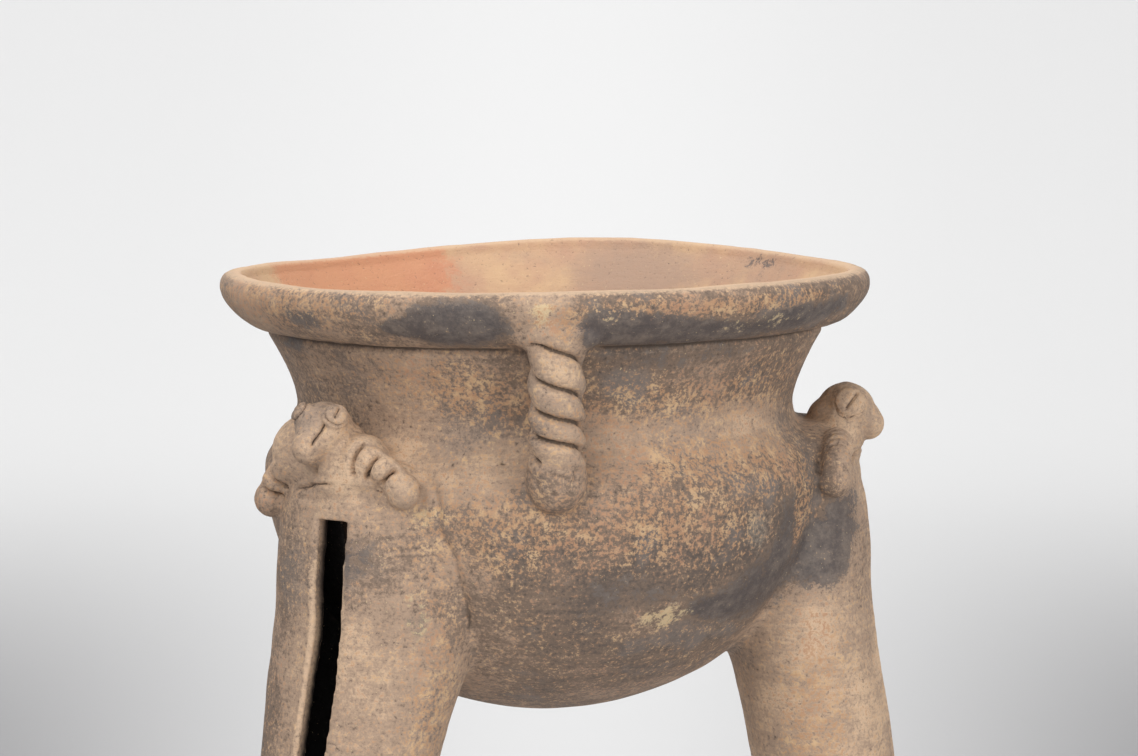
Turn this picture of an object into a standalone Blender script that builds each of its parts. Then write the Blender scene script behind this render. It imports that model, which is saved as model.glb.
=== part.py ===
"""Tripod rattle vessel of fired clay.

A round bowl with a waisted neck and a thick rolled rim stands on three long hollow legs. Each leg has a
long slit down its outer face, and an animal's head with two arms sits on its top. Two loop handles of
twisted clay join the rim to the shoulder. The whole vessel is one fired piece.

Azimuths are in degrees as seen from above: 0 is the front (-Y), 90 is the right (+X), 180 the back.
"""

import math

import bmesh
import bpy
from mathutils import Matrix, Vector

# Bowl, neck and rim. The equator is the widest level of the bowl.
BOWL_CLEARANCE = 0.1707
BOWL_DEPTH = 0.0758
BOWL_RADIUS = 0.0876
NECK_RADIUS = 0.0770
NECK_HEIGHT = 0.0205
NECK_TOP_RADIUS = 0.0868
RIM_RADIUS = 0.1008
RIM_HEIGHT = 0.0620
BAND_HEIGHT = 0.0158
BAND_UNDERCUT = 0.0016
WALL = 0.0065
LIP_THICKNESS = 0.0078
LIP_ROUNDING = 0.0018
MOUTH_OVERCUT = 0.0100
BOWL_SEGMENTS = 42
HOLLOW_SEGMENTS = 32

# The rolled rim's section, from its underside over its face to its lip: share of its overhang beyond
# the top of the neck, and share of its height below the lip.
BAND_SECTION = ((0.26, 1.00), (0.56, 0.86), (0.84, 0.60), (1.00, 0.28), (0.91, 0.08), (0.70, 0.00))

# The hand-built rim rises and dips: waves round the rim, height in metres, and azimuth of the crest.
RIM_WAVES = ((1, 0.0013, 50.0), (2, 0.0008, -10.0), (3, 0.0009, 46.0), (4, 0.0004, -7.0))

# Legs: name, azimuth at the hip, azimuth at the foot, and the way that the slit and the figure face. Then
# how far the hand-set head sits to the side of the figure's middle and above its seat, in metres.
LEG_PLACES = (
    ("left", -41.0, -43.5, -29.0, -0.0054, 0.0034),
    ("right", 90.0, 90.0, 90.0, 0.0, 0.0),
    ("back", -139.0, -136.5, -151.0, 0.0030, 0.0012),
)
LEG_TOP_HEIGHT = 0.2610
LEG_WALL = 0.0055
LEG_SIDES = 16
CAVITY_SIDES = 8
CAVITY_FLOOR_HEIGHT = 0.0160
CAVITY_ROOF_DEPTH = 0.0140
FOOT_REACH = 0.1056
HIP_REACH = 0.0742
HIP_SHARE = 0.805
KNEE_SHARE = 0.55
SLIT_WIDTH = 0.0100
SLIT_FOOT_WIDTH = 0.0084
SLIT_TOP_DEPTH = 0.0200
SLIT_LENGTH = 0.1700

# Sections of a leg from its foot to its top. Share of the leg's height, then in metres: how far the
# section's centre lies outside the straight line from foot to hip, half its depth, and half its width.
LEG_SECTIONS = (
    (0.000, 0.0000, 0.0066, 0.0066),
    (0.010, 0.0001, 0.0088, 0.0088),
    (0.034, 0.0010, 0.0104, 0.0106),
    (0.090, 0.0028, 0.0119, 0.0122),
    (0.190, 0.0046, 0.0145, 0.0152),
    (0.310, 0.0056, 0.0175, 0.0190),
    (0.430, 0.0055, 0.0203, 0.0228),
    (0.540, 0.0051, 0.0221, 0.0258),
    (0.655, 0.0045, 0.0230, 0.0282),
    (0.716, 0.0034, 0.0237, 0.0300),
    (0.765, 0.0016, 0.0258, 0.0312),
    (0.815, 0.0002, 0.0276, 0.0317),
    (0.860, 0.0004, 0.0271, 0.0312),
    (0.905, 0.0010, 0.0250, 0.0304),
    (0.943, 0.0024, 0.0219, 0.0290),
    (0.969, 0.0040, 0.0184, 0.0262),
    (0.988, 0.0058, 0.0134, 0.0212),
    (1.000, 0.0070, 0.0060, 0.0125),
)

# Figure on a leg. Places are (out, side, up) from its seat, at the height of the leg's top.
SEAT_REACH = 0.0760
NECK_LUMP = ((0.0150, 0.0, -0.0060), (0.0086, 0.0128, 0.0122))
HEAD_LUMP = ((0.0185, 0.0, 0.0026), (0.0092, 0.0080, 0.0086))
SNOUT_LUMP = ((0.0242, 0.0, -0.0004), (0.0056, 0.0048, 0.0052))
EYE_CENTRE = (0.0186, 0.0070, 0.0046)
EYE_SIZE = (0.0050, 0.0022, 0.0050)
EYE_SLOT = (0.0010, 0.0018, 0.0048)

# The raised arm lies to the figure's one side, and the hanging arm to its other side.
RAISED_ARM = (
    (0.0185, 0.0050, 0.0012),
    (0.0185, 0.0110, -0.0015),
    (0.0180, 0.0165, -0.0055),
    (0.0170, 0.0210, -0.0100),
)
HANGING_ARM = (
    (0.0160, -0.0080, -0.0005),
    (0.0150, -0.0190, -0.0050),
    (0.0132, -0.0255, -0.0110),
    (0.0118, -0.0285, -0.0168),
)
ARM_RADIUS = 0.0043
PAW_SIZE = (0.0053, 0.0053, 0.0058)
FINGER_GROOVES = (0.30, 0.57, 0.82)
GROOVE_WIDTH = 0.0012
GROOVE_DEPTH = 0.0016

# Handles: a twisted pair of clay coils from the rim to the shoulder, ending in a pressed knob.
HANDLE_AZIMUTHS = (2.5, 182.5)
HANDLE_TOP_DEPTH = 0.0060
HANDLE_FOOT_DEPTH = 0.0520
HANDLE_TOP_REACH = 0.0925
HANDLE_FOOT_REACH = 0.0900
HANDLE_BOW = 0.0015
COIL_RADIUS = 0.0070
COIL_OFFSET = 0.0018
HANDLE_FLATNESS = 0.80
TWIST_PITCH = 0.0186
TWIST_START = 0.31
HANDLE_SIDES = 8
HANDLE_STEPS = 23
ROOT_SIZE = (0.0070, 0.0118, 0.0070)
ROOT_DROP = 0.0045
KNOB_SIZE = (0.0085, 0.0090, 0.0100)
KNOB_DROP = 0.0010

# Degrees: faces that meet at less than the first are one face, and edges above the second are sharp.
FLAT_ANGLE = 0.5
SHARP_ANGLE = 40.0

FIRED_CLAY_COLOUR = (0.29, 0.20, 0.135, 1.0)
FIRED_CLAY_ROUGHNESS = 0.75

EQUATOR = BOWL_CLEARANCE + BOWL_DEPTH
RIM_TOP = EQUATOR + RIM_HEIGHT
NECK = EQUATOR + NECK_HEIGHT
BAND_FOOT = RIM_TOP - BAND_HEIGHT


def outward(azimuth):
    """Unit vector in plan that points to an azimuth in degrees."""
    turn = math.radians(azimuth)
    return Vector((math.sin(turn), -math.cos(turn), 0.0))


def local_frame(azimuth, origin):
    """Matrix from (out, side, up) at a place to the vessel's frame. Side is to the right of who faces it."""
    out = outward(azimuth)
    side = Vector((-out.y, out.x, 0.0))
    up = Vector((0.0, 0.0, 1.0))
    turned = Matrix((out, side, up)).transposed().to_4x4()
    return Matrix.Translation(origin) @ turned


def finish_mesh(name, bm):
    """An object of a closed mesh, with its faces pointing out."""
    bmesh.ops.recalc_face_normals(bm, faces=bm.faces)
    mesh = bpy.data.meshes.new(name)
    bm.to_mesh(mesh)
    bm.free()
    made = bpy.data.objects.new(name, mesh)
    bpy.context.scene.collection.objects.link(made)
    return made


def combine(body, tools, operation):
    """Applies one exact Boolean of body with all the tools, then removes the tools."""
    group = bpy.data.collections.new("tools")
    for tool in tools:
        group.objects.link(tool)
    modifier = body.modifiers.new(operation.title(), "BOOLEAN")
    modifier.operation = operation
    modifier.operand_type = "COLLECTION"
    modifier.collection = group
    graph = bpy.context.evaluated_depsgraph_get()
    joined = bpy.data.meshes.new_from_object(body.evaluated_get(graph))
    body.modifiers.remove(modifier)
    for tool in tools:
        bpy.data.objects.remove(tool)
    bpy.data.collections.remove(group)
    bm = bmesh.new()
    bm.from_mesh(joined)
    bmesh.ops.triangulate(bm, faces=bm.faces)
    bm.to_mesh(joined)
    bm.free()
    body.data = joined


def rim_rise(azimuth):
    """How far the hand-built rim stands above its mean level at an azimuth."""
    return sum(h * math.cos(math.radians(n * (azimuth - crest))) for n, h, crest in RIM_WAVES)


def revolve(name, profile, segments):
    """A closed solid of revolution from (radius, height) points that start and end on the axis."""
    bm = bmesh.new()
    rail = [bm.verts.new((radius, 0.0, height)) for radius, height in profile]
    edges = [bm.edges.new(pair) for pair in zip(rail, rail[1:])]
    bmesh.ops.spin(
        bm,
        geom=rail + edges,
        cent=(0, 0, 0),
        axis=(0, 0, 1),
        angle=math.tau,
        steps=segments,
        use_merge=True,
    )
    bmesh.ops.remove_doubles(bm, verts=bm.verts, dist=1e-6)
    for vert in bm.verts:
        share = min(1.0, max(0.0, (vert.co.z - NECK) / (BAND_FOOT - NECK)))
        azimuth = math.degrees(math.atan2(vert.co.x, -vert.co.y))
        vert.co.z += rim_rise(azimuth) * share
    return finish_mesh(name, bm)


def bowl_curve(radius, depth, steps):
    """Points of the round underside, from the axis at the bottom to the equator."""
    turns = [math.pi / 2 * i / steps for i in range(steps + 1)]
    return [(radius * math.sin(t), EQUATOR - depth * math.cos(t)) for t in turns]


def shoulder_curve(bowl, neck, steps):
    """Points above the equator that round the shoulder and run in to the neck."""
    shares = [i / steps for i in range(1, steps + 1)]
    swell = bowl - neck
    return [(neck + swell * (1 + math.cos(math.pi * s)) / 2, EQUATOR + NECK_HEIGHT * s) for s in shares]


def flare_curve(neck, top, top_height, steps):
    """Points of the flaring neck above its waist."""
    shares = [i / steps for i in range(1, steps + 1)]
    return [(neck + (top - neck) * s**1.5, NECK + (top_height - NECK) * s) for s in shares]


def make_bowl_solid():
    """The bowl, neck and rim as one block, before its hollow is cut."""
    overhang = RIM_RADIUS - NECK_TOP_RADIUS
    band = [(NECK_TOP_RADIUS + overhang * out, RIM_TOP - BAND_HEIGHT * drop) for out, drop in BAND_SECTION]
    profile = (
        bowl_curve(BOWL_RADIUS, BOWL_DEPTH, 8)
        + shoulder_curve(BOWL_RADIUS, NECK_RADIUS, 5)
        + flare_curve(NECK_RADIUS, NECK_TOP_RADIUS, BAND_FOOT - BAND_UNDERCUT, 3)
        + band
        + [(0.0, RIM_TOP)]
    )
    return revolve("vessel", profile, BOWL_SEGMENTS)


def make_bowl_hollow():
    """The space inside the bowl, which runs up past the lip."""
    lip = RIM_RADIUS - LIP_THICKNESS
    above = RIM_TOP + MOUTH_OVERCUT
    profile = (
        bowl_curve(BOWL_RADIUS - WALL, BOWL_DEPTH - WALL, 6)
        + shoulder_curve(BOWL_RADIUS - WALL, NECK_RADIUS - WALL, 3)
        + flare_curve(NECK_RADIUS - WALL, lip, RIM_TOP - LIP_ROUNDING, 3)
        + [(lip + LIP_ROUNDING, RIM_TOP), (lip + LIP_ROUNDING, above), (0.0, above)]
    )
    return revolve("bowl_hollow", profile, HOLLOW_SEGMENTS)


def leg_section(share):
    """(bow, half depth, half width) of a leg at a share of its height, between its listed sections."""
    for low, high in zip(LEG_SECTIONS, LEG_SECTIONS[1:]):
        if share <= high[0]:
            part = (share - low[0]) / (high[0] - low[0])
            return [a + (b - a) * part for a, b in zip(low[1:], high[1:])]
    return list(LEG_SECTIONS[-1][1:])


def leg_centre(hip, foot, share):
    """Point on a leg's middle line at a share of its height, between its hip's and its foot's azimuths."""
    run = min(1.0, share / HIP_SHARE)
    reach = FOOT_REACH + (HIP_REACH - FOOT_REACH) * run + leg_section(share)[0]
    turn = min(1.0, max(0.0, (share - KNEE_SHARE) / (HIP_SHARE - KNEE_SHARE)))
    return outward(foot + (hip - foot) * turn) * reach + Vector((0, 0, LEG_TOP_HEIGHT * share))


def loft(name, shares, sides, ring_point):
    """A closed solid of rings, one for each share, extruded from the first and capped at both ends."""
    bm = bmesh.new()
    angle = bm.verts.layers.float.new("angle")
    bmesh.ops.create_circle(bm, segments=sides, radius=1.0)
    for vert in bm.verts:
        vert[angle] = math.atan2(vert.co.y, vert.co.x)
    ring = list(bm.verts)
    edges = list(bm.edges)
    for vert in ring:
        vert.co = ring_point(vert[angle], shares[0])
    bm.faces.new(ring)
    for share in shares[1:]:
        grown = bmesh.ops.extrude_edge_only(bm, edges=edges)["geom"]
        ring = [g for g in grown if isinstance(g, bmesh.types.BMVert)]
        edges = [g for g in grown if isinstance(g, bmesh.types.BMEdge)]
        for vert in ring:
            vert.co = ring_point(vert[angle], share)
    bmesh.ops.contextual_create(bm, geom=edges)
    return finish_mesh(name, bm)


def leg_ring(leg, share, turn, inset):
    """Point on a leg's section at a share of its height, inset from its outer form."""
    _, hip, foot, facing, _, _ = leg
    _, depth, width = leg_section(share)
    frame = local_frame(facing, leg_centre(hip, foot, share))
    return frame @ Vector(((depth - inset) * math.cos(turn), (width - inset) * math.sin(turn), 0.0))


def make_leg_solid(leg):
    """A leg's outer form."""
    shares = [section[0] for section in LEG_SECTIONS]
    return loft("leg", shares, LEG_SIDES, lambda turn, share: leg_ring(leg, share, turn, 0.0))


def make_leg_cavity(leg):
    """The hollow inside a leg, a wall's thickness within its outer form."""
    low = CAVITY_FLOOR_HEIGHT / LEG_TOP_HEIGHT
    high = 1 - CAVITY_ROOF_DEPTH / LEG_TOP_HEIGHT
    inner = [section[0] for section in LEG_SECTIONS[3::2] if low < section[0] < high]
    shares = [low, *inner, high]
    return loft("cavity", shares, CAVITY_SIDES, lambda turn, share: leg_ring(leg, share, turn, LEG_WALL))


def make_slit(leg):
    """The long slit down a leg's outer face, from outside to the middle of its cavity."""
    _, hip, foot, facing, _, _ = leg
    top = LEG_TOP_HEIGHT - SLIT_TOP_DEPTH
    shares = [(top - SLIT_LENGTH * i / 6) / LEG_TOP_HEIGHT for i in range(7)]

    def corner(turn, share):
        run = (top - share * LEG_TOP_HEIGHT) / SLIT_LENGTH
        half = (SLIT_WIDTH + (SLIT_FOOT_WIDTH - SLIT_WIDTH) * run) / 2
        turn = turn + math.pi / 4
        reach = leg_section(share)[1] + LEG_WALL if math.cos(turn) > 0 else 0.0
        frame = local_frame(facing, leg_centre(hip, foot, share))
        return frame @ Vector((reach, math.copysign(half, math.sin(turn)), 0.0))

    return loft("slit", shares, 4, corner)


def ball(frame, centre, size, segments=10, rings=7):
    """An egg-shaped lump of clay at a place in a figure's or a handle's own frame."""
    bm = bmesh.new()
    bmesh.ops.create_uvsphere(bm, u_segments=segments, v_segments=rings, radius=1.0)
    shape = frame @ Matrix.Translation(centre) @ Matrix.Diagonal((*size, 1.0))
    bmesh.ops.transform(bm, matrix=shape, verts=bm.verts)
    return finish_mesh("lump", bm)


def block(frame, centre, size, roll=0.0):
    """A thin block that cuts a groove, turned by roll degrees about its outward axis."""
    bm = bmesh.new()
    bmesh.ops.create_cube(bm, size=1.0)
    turned = Matrix.Rotation(math.radians(roll), 4, "X")
    shape = frame @ Matrix.Translation(centre) @ turned @ Matrix.Diagonal((*size, 1.0))
    bmesh.ops.transform(bm, matrix=shape, verts=bm.verts)
    return finish_mesh("groove", bm)


def arm_point(arm, share):
    """Point of an arm's middle line at a share of it."""
    place = share * (len(arm) - 1)
    index = min(int(place), len(arm) - 2)
    return Vector(arm[index]).lerp(Vector(arm[index + 1]), place - index)


def make_arm(frame, arm):
    """One arm: a coil of clay laid over the leg's top."""

    def ring_point(turn, share):
        ahead = arm_point(arm, min(1.0, share + 0.05)) - arm_point(arm, max(0.0, share - 0.05))
        across = ahead.cross(Vector((1.0, 0.0, 0.0))).normalized()
        rise = across.cross(ahead).normalized()
        offset = (across * math.cos(turn) + rise * math.sin(turn)) * ARM_RADIUS
        return frame @ (arm_point(arm, share) + offset)

    return loft("arm", [0.0, 0.34, 0.67, 1.0], 8, ring_point)


def figure_frames(leg):
    """The own frames of the figure that sits on a leg, and of its head."""
    _, hip, _, facing, head_side, head_up = leg
    seat = outward(hip) * SEAT_REACH
    frame = local_frame(facing, Vector((seat.x, seat.y, LEG_TOP_HEIGHT)))
    return frame, frame @ Matrix.Translation((0.0, head_side, head_up))


def figure_lumps(frame, head):
    """The animal's neck, head, snout, eyes, arms and paws, each as a closed form."""
    lumps = [ball(frame, *NECK_LUMP, 8, 5), ball(head, *HEAD_LUMP), ball(head, *SNOUT_LUMP, 8, 6)]
    for hand in (1, -1):
        eye = (EYE_CENTRE[0], EYE_CENTRE[1] * hand, EYE_CENTRE[2])
        lumps.append(ball(head, eye, EYE_SIZE, 8, 4))
    for arm in (RAISED_ARM, HANGING_ARM):
        lumps.append(make_arm(frame, arm))
        lumps.append(ball(frame, arm_point(arm, 1.0), PAW_SIZE, 8, 5))
    return lumps


def figure_grooves(frame, head):
    """The cutters of the eye slots and of the grooves across the arms."""
    grooves = []
    for hand in (1, -1):
        eye = (EYE_CENTRE[0], (EYE_CENTRE[1] + EYE_SIZE[1]) * hand, EYE_CENTRE[2])
        grooves.append(block(head, eye, EYE_SLOT))
    for arm in (RAISED_ARM, HANGING_ARM):
        lean = math.degrees(math.atan2(arm[-1][2] - arm[0][2], arm[-1][1] - arm[0][1]))
        for share in FINGER_GROOVES:
            outer = Vector((1.0, math.copysign(1.0, arm[-1][1]), 0.0)).normalized() * ARM_RADIUS
            size = (2 * GROOVE_DEPTH, GROOVE_WIDTH, 2.6 * ARM_RADIUS)
            grooves.append(block(frame, arm_point(arm, share) + outer, size, lean))
    return grooves


def make_leg(leg):
    """One hollow leg with its figure and slit."""
    frame, head = figure_frames(leg)
    made = make_leg_solid(leg)
    combine(made, figure_lumps(frame, head), "UNION")
    combine(made, figure_grooves(frame, head) + [make_leg_cavity(leg), make_slit(leg)], "DIFFERENCE")
    return made


def make_handle(azimuth):
    """One loop handle: two coils twisted together, with its root at the rim and its knob."""
    top = RIM_TOP - HANDLE_TOP_DEPTH
    foot = RIM_TOP - HANDLE_FOOT_DEPTH
    frame = local_frame(azimuth, Vector((0, 0, foot)))
    length = top - foot

    def ring_point(turn, share):
        crest = abs(math.cos(turn))
        lobe = COIL_OFFSET * crest + math.sqrt(COIL_RADIUS**2 - (COIL_OFFSET**2) * (1 - crest**2))
        twisted = turn - math.tau * (share * length / TWIST_PITCH + TWIST_START)
        reach = HANDLE_FOOT_REACH + (HANDLE_TOP_REACH - HANDLE_FOOT_REACH) * share
        reach += HANDLE_BOW * math.sin(math.pi * share) + HANDLE_FLATNESS * lobe * math.cos(twisted)
        return frame @ Vector((reach, lobe * math.sin(twisted), share * length))

    shares = [i / HANDLE_STEPS for i in range(HANDLE_STEPS + 1)]
    handle = loft("handle", shares, HANDLE_SIDES, ring_point)
    root = ball(frame, (HANDLE_TOP_REACH, 0, length - ROOT_DROP), ROOT_SIZE, 8, 6)
    knob = ball(frame, (BOWL_RADIUS, 0, -KNOB_DROP), KNOB_SIZE, 10, 6)
    combine(handle, [root, knob], "UNION")
    return handle


def fired_clay():
    """The vessel's one material: smoothed and fired brown clay."""
    material = bpy.data.materials.new("fired_clay")
    material.use_nodes = True
    shader = material.node_tree.nodes["Principled BSDF"]
    shader.inputs["Base Color"].default_value = FIRED_CLAY_COLOUR
    shader.inputs["Roughness"].default_value = FIRED_CLAY_ROUGHNESS
    shader.inputs["Metallic"].default_value = 0.0
    return material


def merge_flat_faces(vessel):
    """Joins the flat faces that the Booleans split, so that only real edges are left."""
    bm = bmesh.new()
    bm.from_mesh(vessel.data)
    angle = math.radians(FLAT_ANGLE)
    bmesh.ops.dissolve_limit(bm, angle_limit=angle, verts=bm.verts, edges=bm.edges)
    bmesh.ops.triangulate(bm, faces=bm.faces)
    bm.to_mesh(vessel.data)
    bm.free()


def centre_on_footprint(vessel):
    """Moves the mesh so that its box stands on the ground with its middle over the origin."""
    corners = [vert.co for vert in vessel.data.vertices]
    low = Vector([min(c[k] for c in corners) for k in range(3)])
    high = Vector([max(c[k] for c in corners) for k in range(3)])
    shift = Vector((-(low.x + high.x) / 2, -(low.y + high.y) / 2, -low.z))
    vessel.data.transform(Matrix.Translation(shift))
    print("vessel axis is at", [round(c, 5) for c in shift])


def main():
    for old in list(bpy.data.objects):
        bpy.data.objects.remove(old)
    vessel = make_bowl_solid()
    parts = [make_leg(leg) for leg in LEG_PLACES]
    parts += [make_handle(azimuth) for azimuth in HANDLE_AZIMUTHS]
    combine(vessel, parts, "UNION")
    combine(vessel, [make_bowl_hollow()], "DIFFERENCE")
    merge_flat_faces(vessel)
    centre_on_footprint(vessel)
    vessel.data.materials.clear()
    vessel.data.materials.append(fired_clay())
    vessel.data.shade_smooth()
    vessel.data.set_sharp_from_angle(angle=math.radians(SHARP_ANGLE))


main()
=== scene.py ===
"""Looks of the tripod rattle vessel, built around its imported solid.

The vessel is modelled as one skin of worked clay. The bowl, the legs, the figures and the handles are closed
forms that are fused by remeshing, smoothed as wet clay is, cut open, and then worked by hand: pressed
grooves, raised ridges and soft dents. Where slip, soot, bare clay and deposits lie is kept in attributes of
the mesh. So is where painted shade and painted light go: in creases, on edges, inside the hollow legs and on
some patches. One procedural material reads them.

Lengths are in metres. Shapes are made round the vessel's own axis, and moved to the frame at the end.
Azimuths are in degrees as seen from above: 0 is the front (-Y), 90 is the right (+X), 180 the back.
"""

import logging
import math
from collections.abc import Callable, Sequence
from dataclasses import dataclass
from enum import Enum

import bmesh
import bpy
import numpy as np
from mathutils import Matrix, Vector

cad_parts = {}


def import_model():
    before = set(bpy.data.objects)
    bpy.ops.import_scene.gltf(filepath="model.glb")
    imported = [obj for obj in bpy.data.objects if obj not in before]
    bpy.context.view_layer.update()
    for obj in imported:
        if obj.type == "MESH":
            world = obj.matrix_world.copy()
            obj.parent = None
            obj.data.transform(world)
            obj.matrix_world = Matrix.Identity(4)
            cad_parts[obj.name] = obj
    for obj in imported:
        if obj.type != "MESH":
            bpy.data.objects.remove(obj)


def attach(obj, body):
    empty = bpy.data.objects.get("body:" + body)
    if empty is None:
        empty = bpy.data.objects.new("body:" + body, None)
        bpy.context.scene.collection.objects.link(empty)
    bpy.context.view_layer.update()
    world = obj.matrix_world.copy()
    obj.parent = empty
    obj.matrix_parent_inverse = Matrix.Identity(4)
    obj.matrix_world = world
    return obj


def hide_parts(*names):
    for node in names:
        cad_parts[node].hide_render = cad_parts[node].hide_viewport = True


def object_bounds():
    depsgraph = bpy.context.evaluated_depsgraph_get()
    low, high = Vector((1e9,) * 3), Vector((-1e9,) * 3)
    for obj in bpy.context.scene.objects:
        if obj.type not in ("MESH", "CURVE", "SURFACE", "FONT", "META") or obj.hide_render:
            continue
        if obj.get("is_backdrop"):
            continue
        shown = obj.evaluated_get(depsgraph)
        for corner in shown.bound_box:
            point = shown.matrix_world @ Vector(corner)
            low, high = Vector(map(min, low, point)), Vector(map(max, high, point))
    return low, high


LOG = logging.getLogger("vessel")
PHOTO_WIDTH = 1138
Point = tuple[float, float, float]
Array = np.ndarray
Profile = list[tuple[float, float]]
RingPoint = Callable[[float, float], Vector]
# Half width, depth and fading length of the mark that one tool or finger leaves, in metres.
Tool = tuple[float, float, float]


def outward(azimuth: float) -> Vector:
    """Unit vector in plan that points to an azimuth in degrees."""
    turn = math.radians(azimuth)
    return Vector((math.sin(turn), -math.cos(turn), 0.0))


def local_frame(azimuth: float, origin: Vector) -> Matrix:
    """Matrix from (out, side, up) at a place to the vessel's frame.

    Args:
        azimuth: The way that "out" points, in degrees.
        origin: The place, in the vessel's frame.

    Returns:
        The four by four matrix.
    """
    out = outward(azimuth)
    side = Vector((-out.y, out.x, 0.0))
    turned = Matrix((out, side, Vector((0.0, 0.0, 1.0)))).transposed().to_4x4()
    return Matrix.Translation(origin) @ turned


def smooth_table(keys: Sequence[float], rows: Sequence[Sequence[float]], places: Array) -> Array:
    """Reads a table of values along a smooth curve through its rows.

    Args:
        keys: The place of each row, rising.
        rows: The values at each place.
        places: Where to read.

    Returns:
        One row of values for each place.
    """
    keys = np.asarray(keys, float)
    rows = np.asarray(rows, float)
    slopes = np.gradient(rows, keys, axis=0)
    places = np.clip(places, keys[0], keys[-1])
    index = np.clip(np.searchsorted(keys, places, side="right") - 1, 0, len(keys) - 2)
    gap = keys[index + 1] - keys[index]
    part = ((places - keys[index]) / gap)[:, None]
    gap = gap[:, None]
    start = (1 + 2 * part) * (1 - part) ** 2 * rows[index] + part * (1 - part) ** 2 * gap * slopes[index]
    end = part**2 * (3 - 2 * part) * rows[index + 1] + part**2 * (part - 1) * gap * slopes[index + 1]
    return start + end


def new_object(name: str, bm: bmesh.types.BMesh) -> bpy.types.Object:
    """Makes an object of a closed mesh, with its faces pointing out, and frees the bmesh.

    Args:
        name: The object's name.
        bm: The closed mesh.

    Returns:
        The new object.
    """
    bmesh.ops.recalc_face_normals(bm, faces=bm.faces)
    mesh = bpy.data.meshes.new(name)
    bm.to_mesh(mesh)
    bm.free()
    made = bpy.data.objects.new(name, mesh)
    bpy.context.scene.collection.objects.link(made)
    return made


def apply_modifiers(thing: bpy.types.Object) -> None:
    """Replaces an object's mesh by what its modifiers make of it.

    Args:
        thing: The object.
    """
    graph = bpy.context.evaluated_depsgraph_get()
    made = bpy.data.meshes.new_from_object(thing.evaluated_get(graph))
    thing.modifiers.clear()
    thing.data = made


def join(things: Sequence[bpy.types.Object]) -> bpy.types.Object:
    """Copies all the meshes into the first object and removes the others.

    Args:
        things: The objects.

    Returns:
        The first of them, which holds all the meshes.
    """
    bm = bmesh.new()
    for thing in things:
        bm.from_mesh(thing.data)
    bm.to_mesh(things[0].data)
    bm.free()
    for thing in things[1:]:
        bpy.data.objects.remove(thing)
    return things[0]


def fuse(thing: bpy.types.Object, voxel: float, smoothing: int) -> None:
    """Fuses overlapping closed forms into one skin, and smooths it as a wet hand does.

    Args:
        thing: The object, whose mesh is replaced.
        voxel: Size of the new faces.
        smoothing: How many times each point moves half way to its neighbours' middle.
    """
    remesh = thing.modifiers.new("Fuse", "REMESH")
    remesh.mode = "VOXEL"
    remesh.voxel_size = voxel
    smooth = thing.modifiers.new("Smooth", "SMOOTH")
    smooth.factor = 0.5
    smooth.iterations = smoothing
    apply_modifiers(thing)


def cut(thing: bpy.types.Object, tools: Sequence[bpy.types.Object]) -> None:
    """Cuts closed forms out of a closed skin, one after another, and removes them.

    Args:
        thing: The closed skin.
        tools: The closed forms.
    """
    for tool in tools:
        step = thing.modifiers.new("Cut", "BOOLEAN")
        step.operation = "DIFFERENCE"
        step.solver = "MANIFOLD"
        step.object = tool
        apply_modifiers(thing)
        bpy.data.objects.remove(tool)


def loft(name: str, shares: Sequence[float], sides: int, ring_point: RingPoint) -> bpy.types.Object:
    """Makes a closed form of rings, extruded one from the other and capped at both ends.

    Args:
        name: The object's name.
        shares: The place of each ring.
        sides: Number of points on a ring.
        ring_point: Gives the point at a turn on the ring and a share.

    Returns:
        The new object.
    """
    bm = bmesh.new()
    angle = bm.verts.layers.float.new("angle")
    bmesh.ops.create_circle(bm, segments=sides, radius=1.0)
    for vert in bm.verts:
        vert[angle] = math.atan2(vert.co.y, vert.co.x)
    ring = list(bm.verts)
    edges = list(bm.edges)
    for vert in ring:
        vert.co = ring_point(vert[angle], shares[0])
    bm.faces.new(ring)
    for share in shares[1:]:
        grown = bmesh.ops.extrude_edge_only(bm, edges=edges)["geom"]
        ring = [g for g in grown if isinstance(g, bmesh.types.BMVert)]
        edges = [g for g in grown if isinstance(g, bmesh.types.BMEdge)]
        for vert in ring:
            vert.co = ring_point(vert[angle], share)
    bmesh.ops.contextual_create(bm, geom=edges)
    return new_object(name, bm)


def ball(frame: Matrix, centre: Point, size: Point, turn: float = 0.0) -> bpy.types.Object:
    """Makes an egg-shaped lump of clay.

    Args:
        frame: The own frame that the lump is placed in.
        centre: Its middle in that frame.
        size: Its half sizes.
        turn: Degrees that it nods about its side axis, positive for nose down.

    Returns:
        The new object.
    """
    bm = bmesh.new()
    bmesh.ops.create_uvsphere(bm, u_segments=32, v_segments=20, radius=1.0)
    nod = Matrix.Rotation(math.radians(turn), 4, "Y")
    shape = frame @ Matrix.Translation(centre) @ nod @ Matrix.Diagonal((*size, 1.0))
    bmesh.ops.transform(bm, matrix=shape, verts=bm.verts)
    return new_object("lump", bm)


@dataclass(frozen=True)
class Stroke:
    """A line that a tool or a finger drew on the clay. Its points are in metres from the vessel's axis."""

    path: tuple[Point, ...]
    width: float
    depth: float
    taper: float = 0.0
    round_power: float = 2.0


def placed(frame: Matrix, path: Sequence[Point], width: float, depth: float, taper: float = 0.0) -> Stroke:
    """Makes a stroke from points in a piece's own frame.

    Args:
        frame: The piece's own frame.
        path: The points in it.
        width: Half width of the line.
        depth: How deep it is pressed, negative for a raised line.
        taper: Length over which it fades out at each end.

    Returns:
        The stroke in the vessel's frame.
    """
    return Stroke(tuple(tuple(frame @ Vector(point)) for point in path), width, depth, taper)


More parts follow.
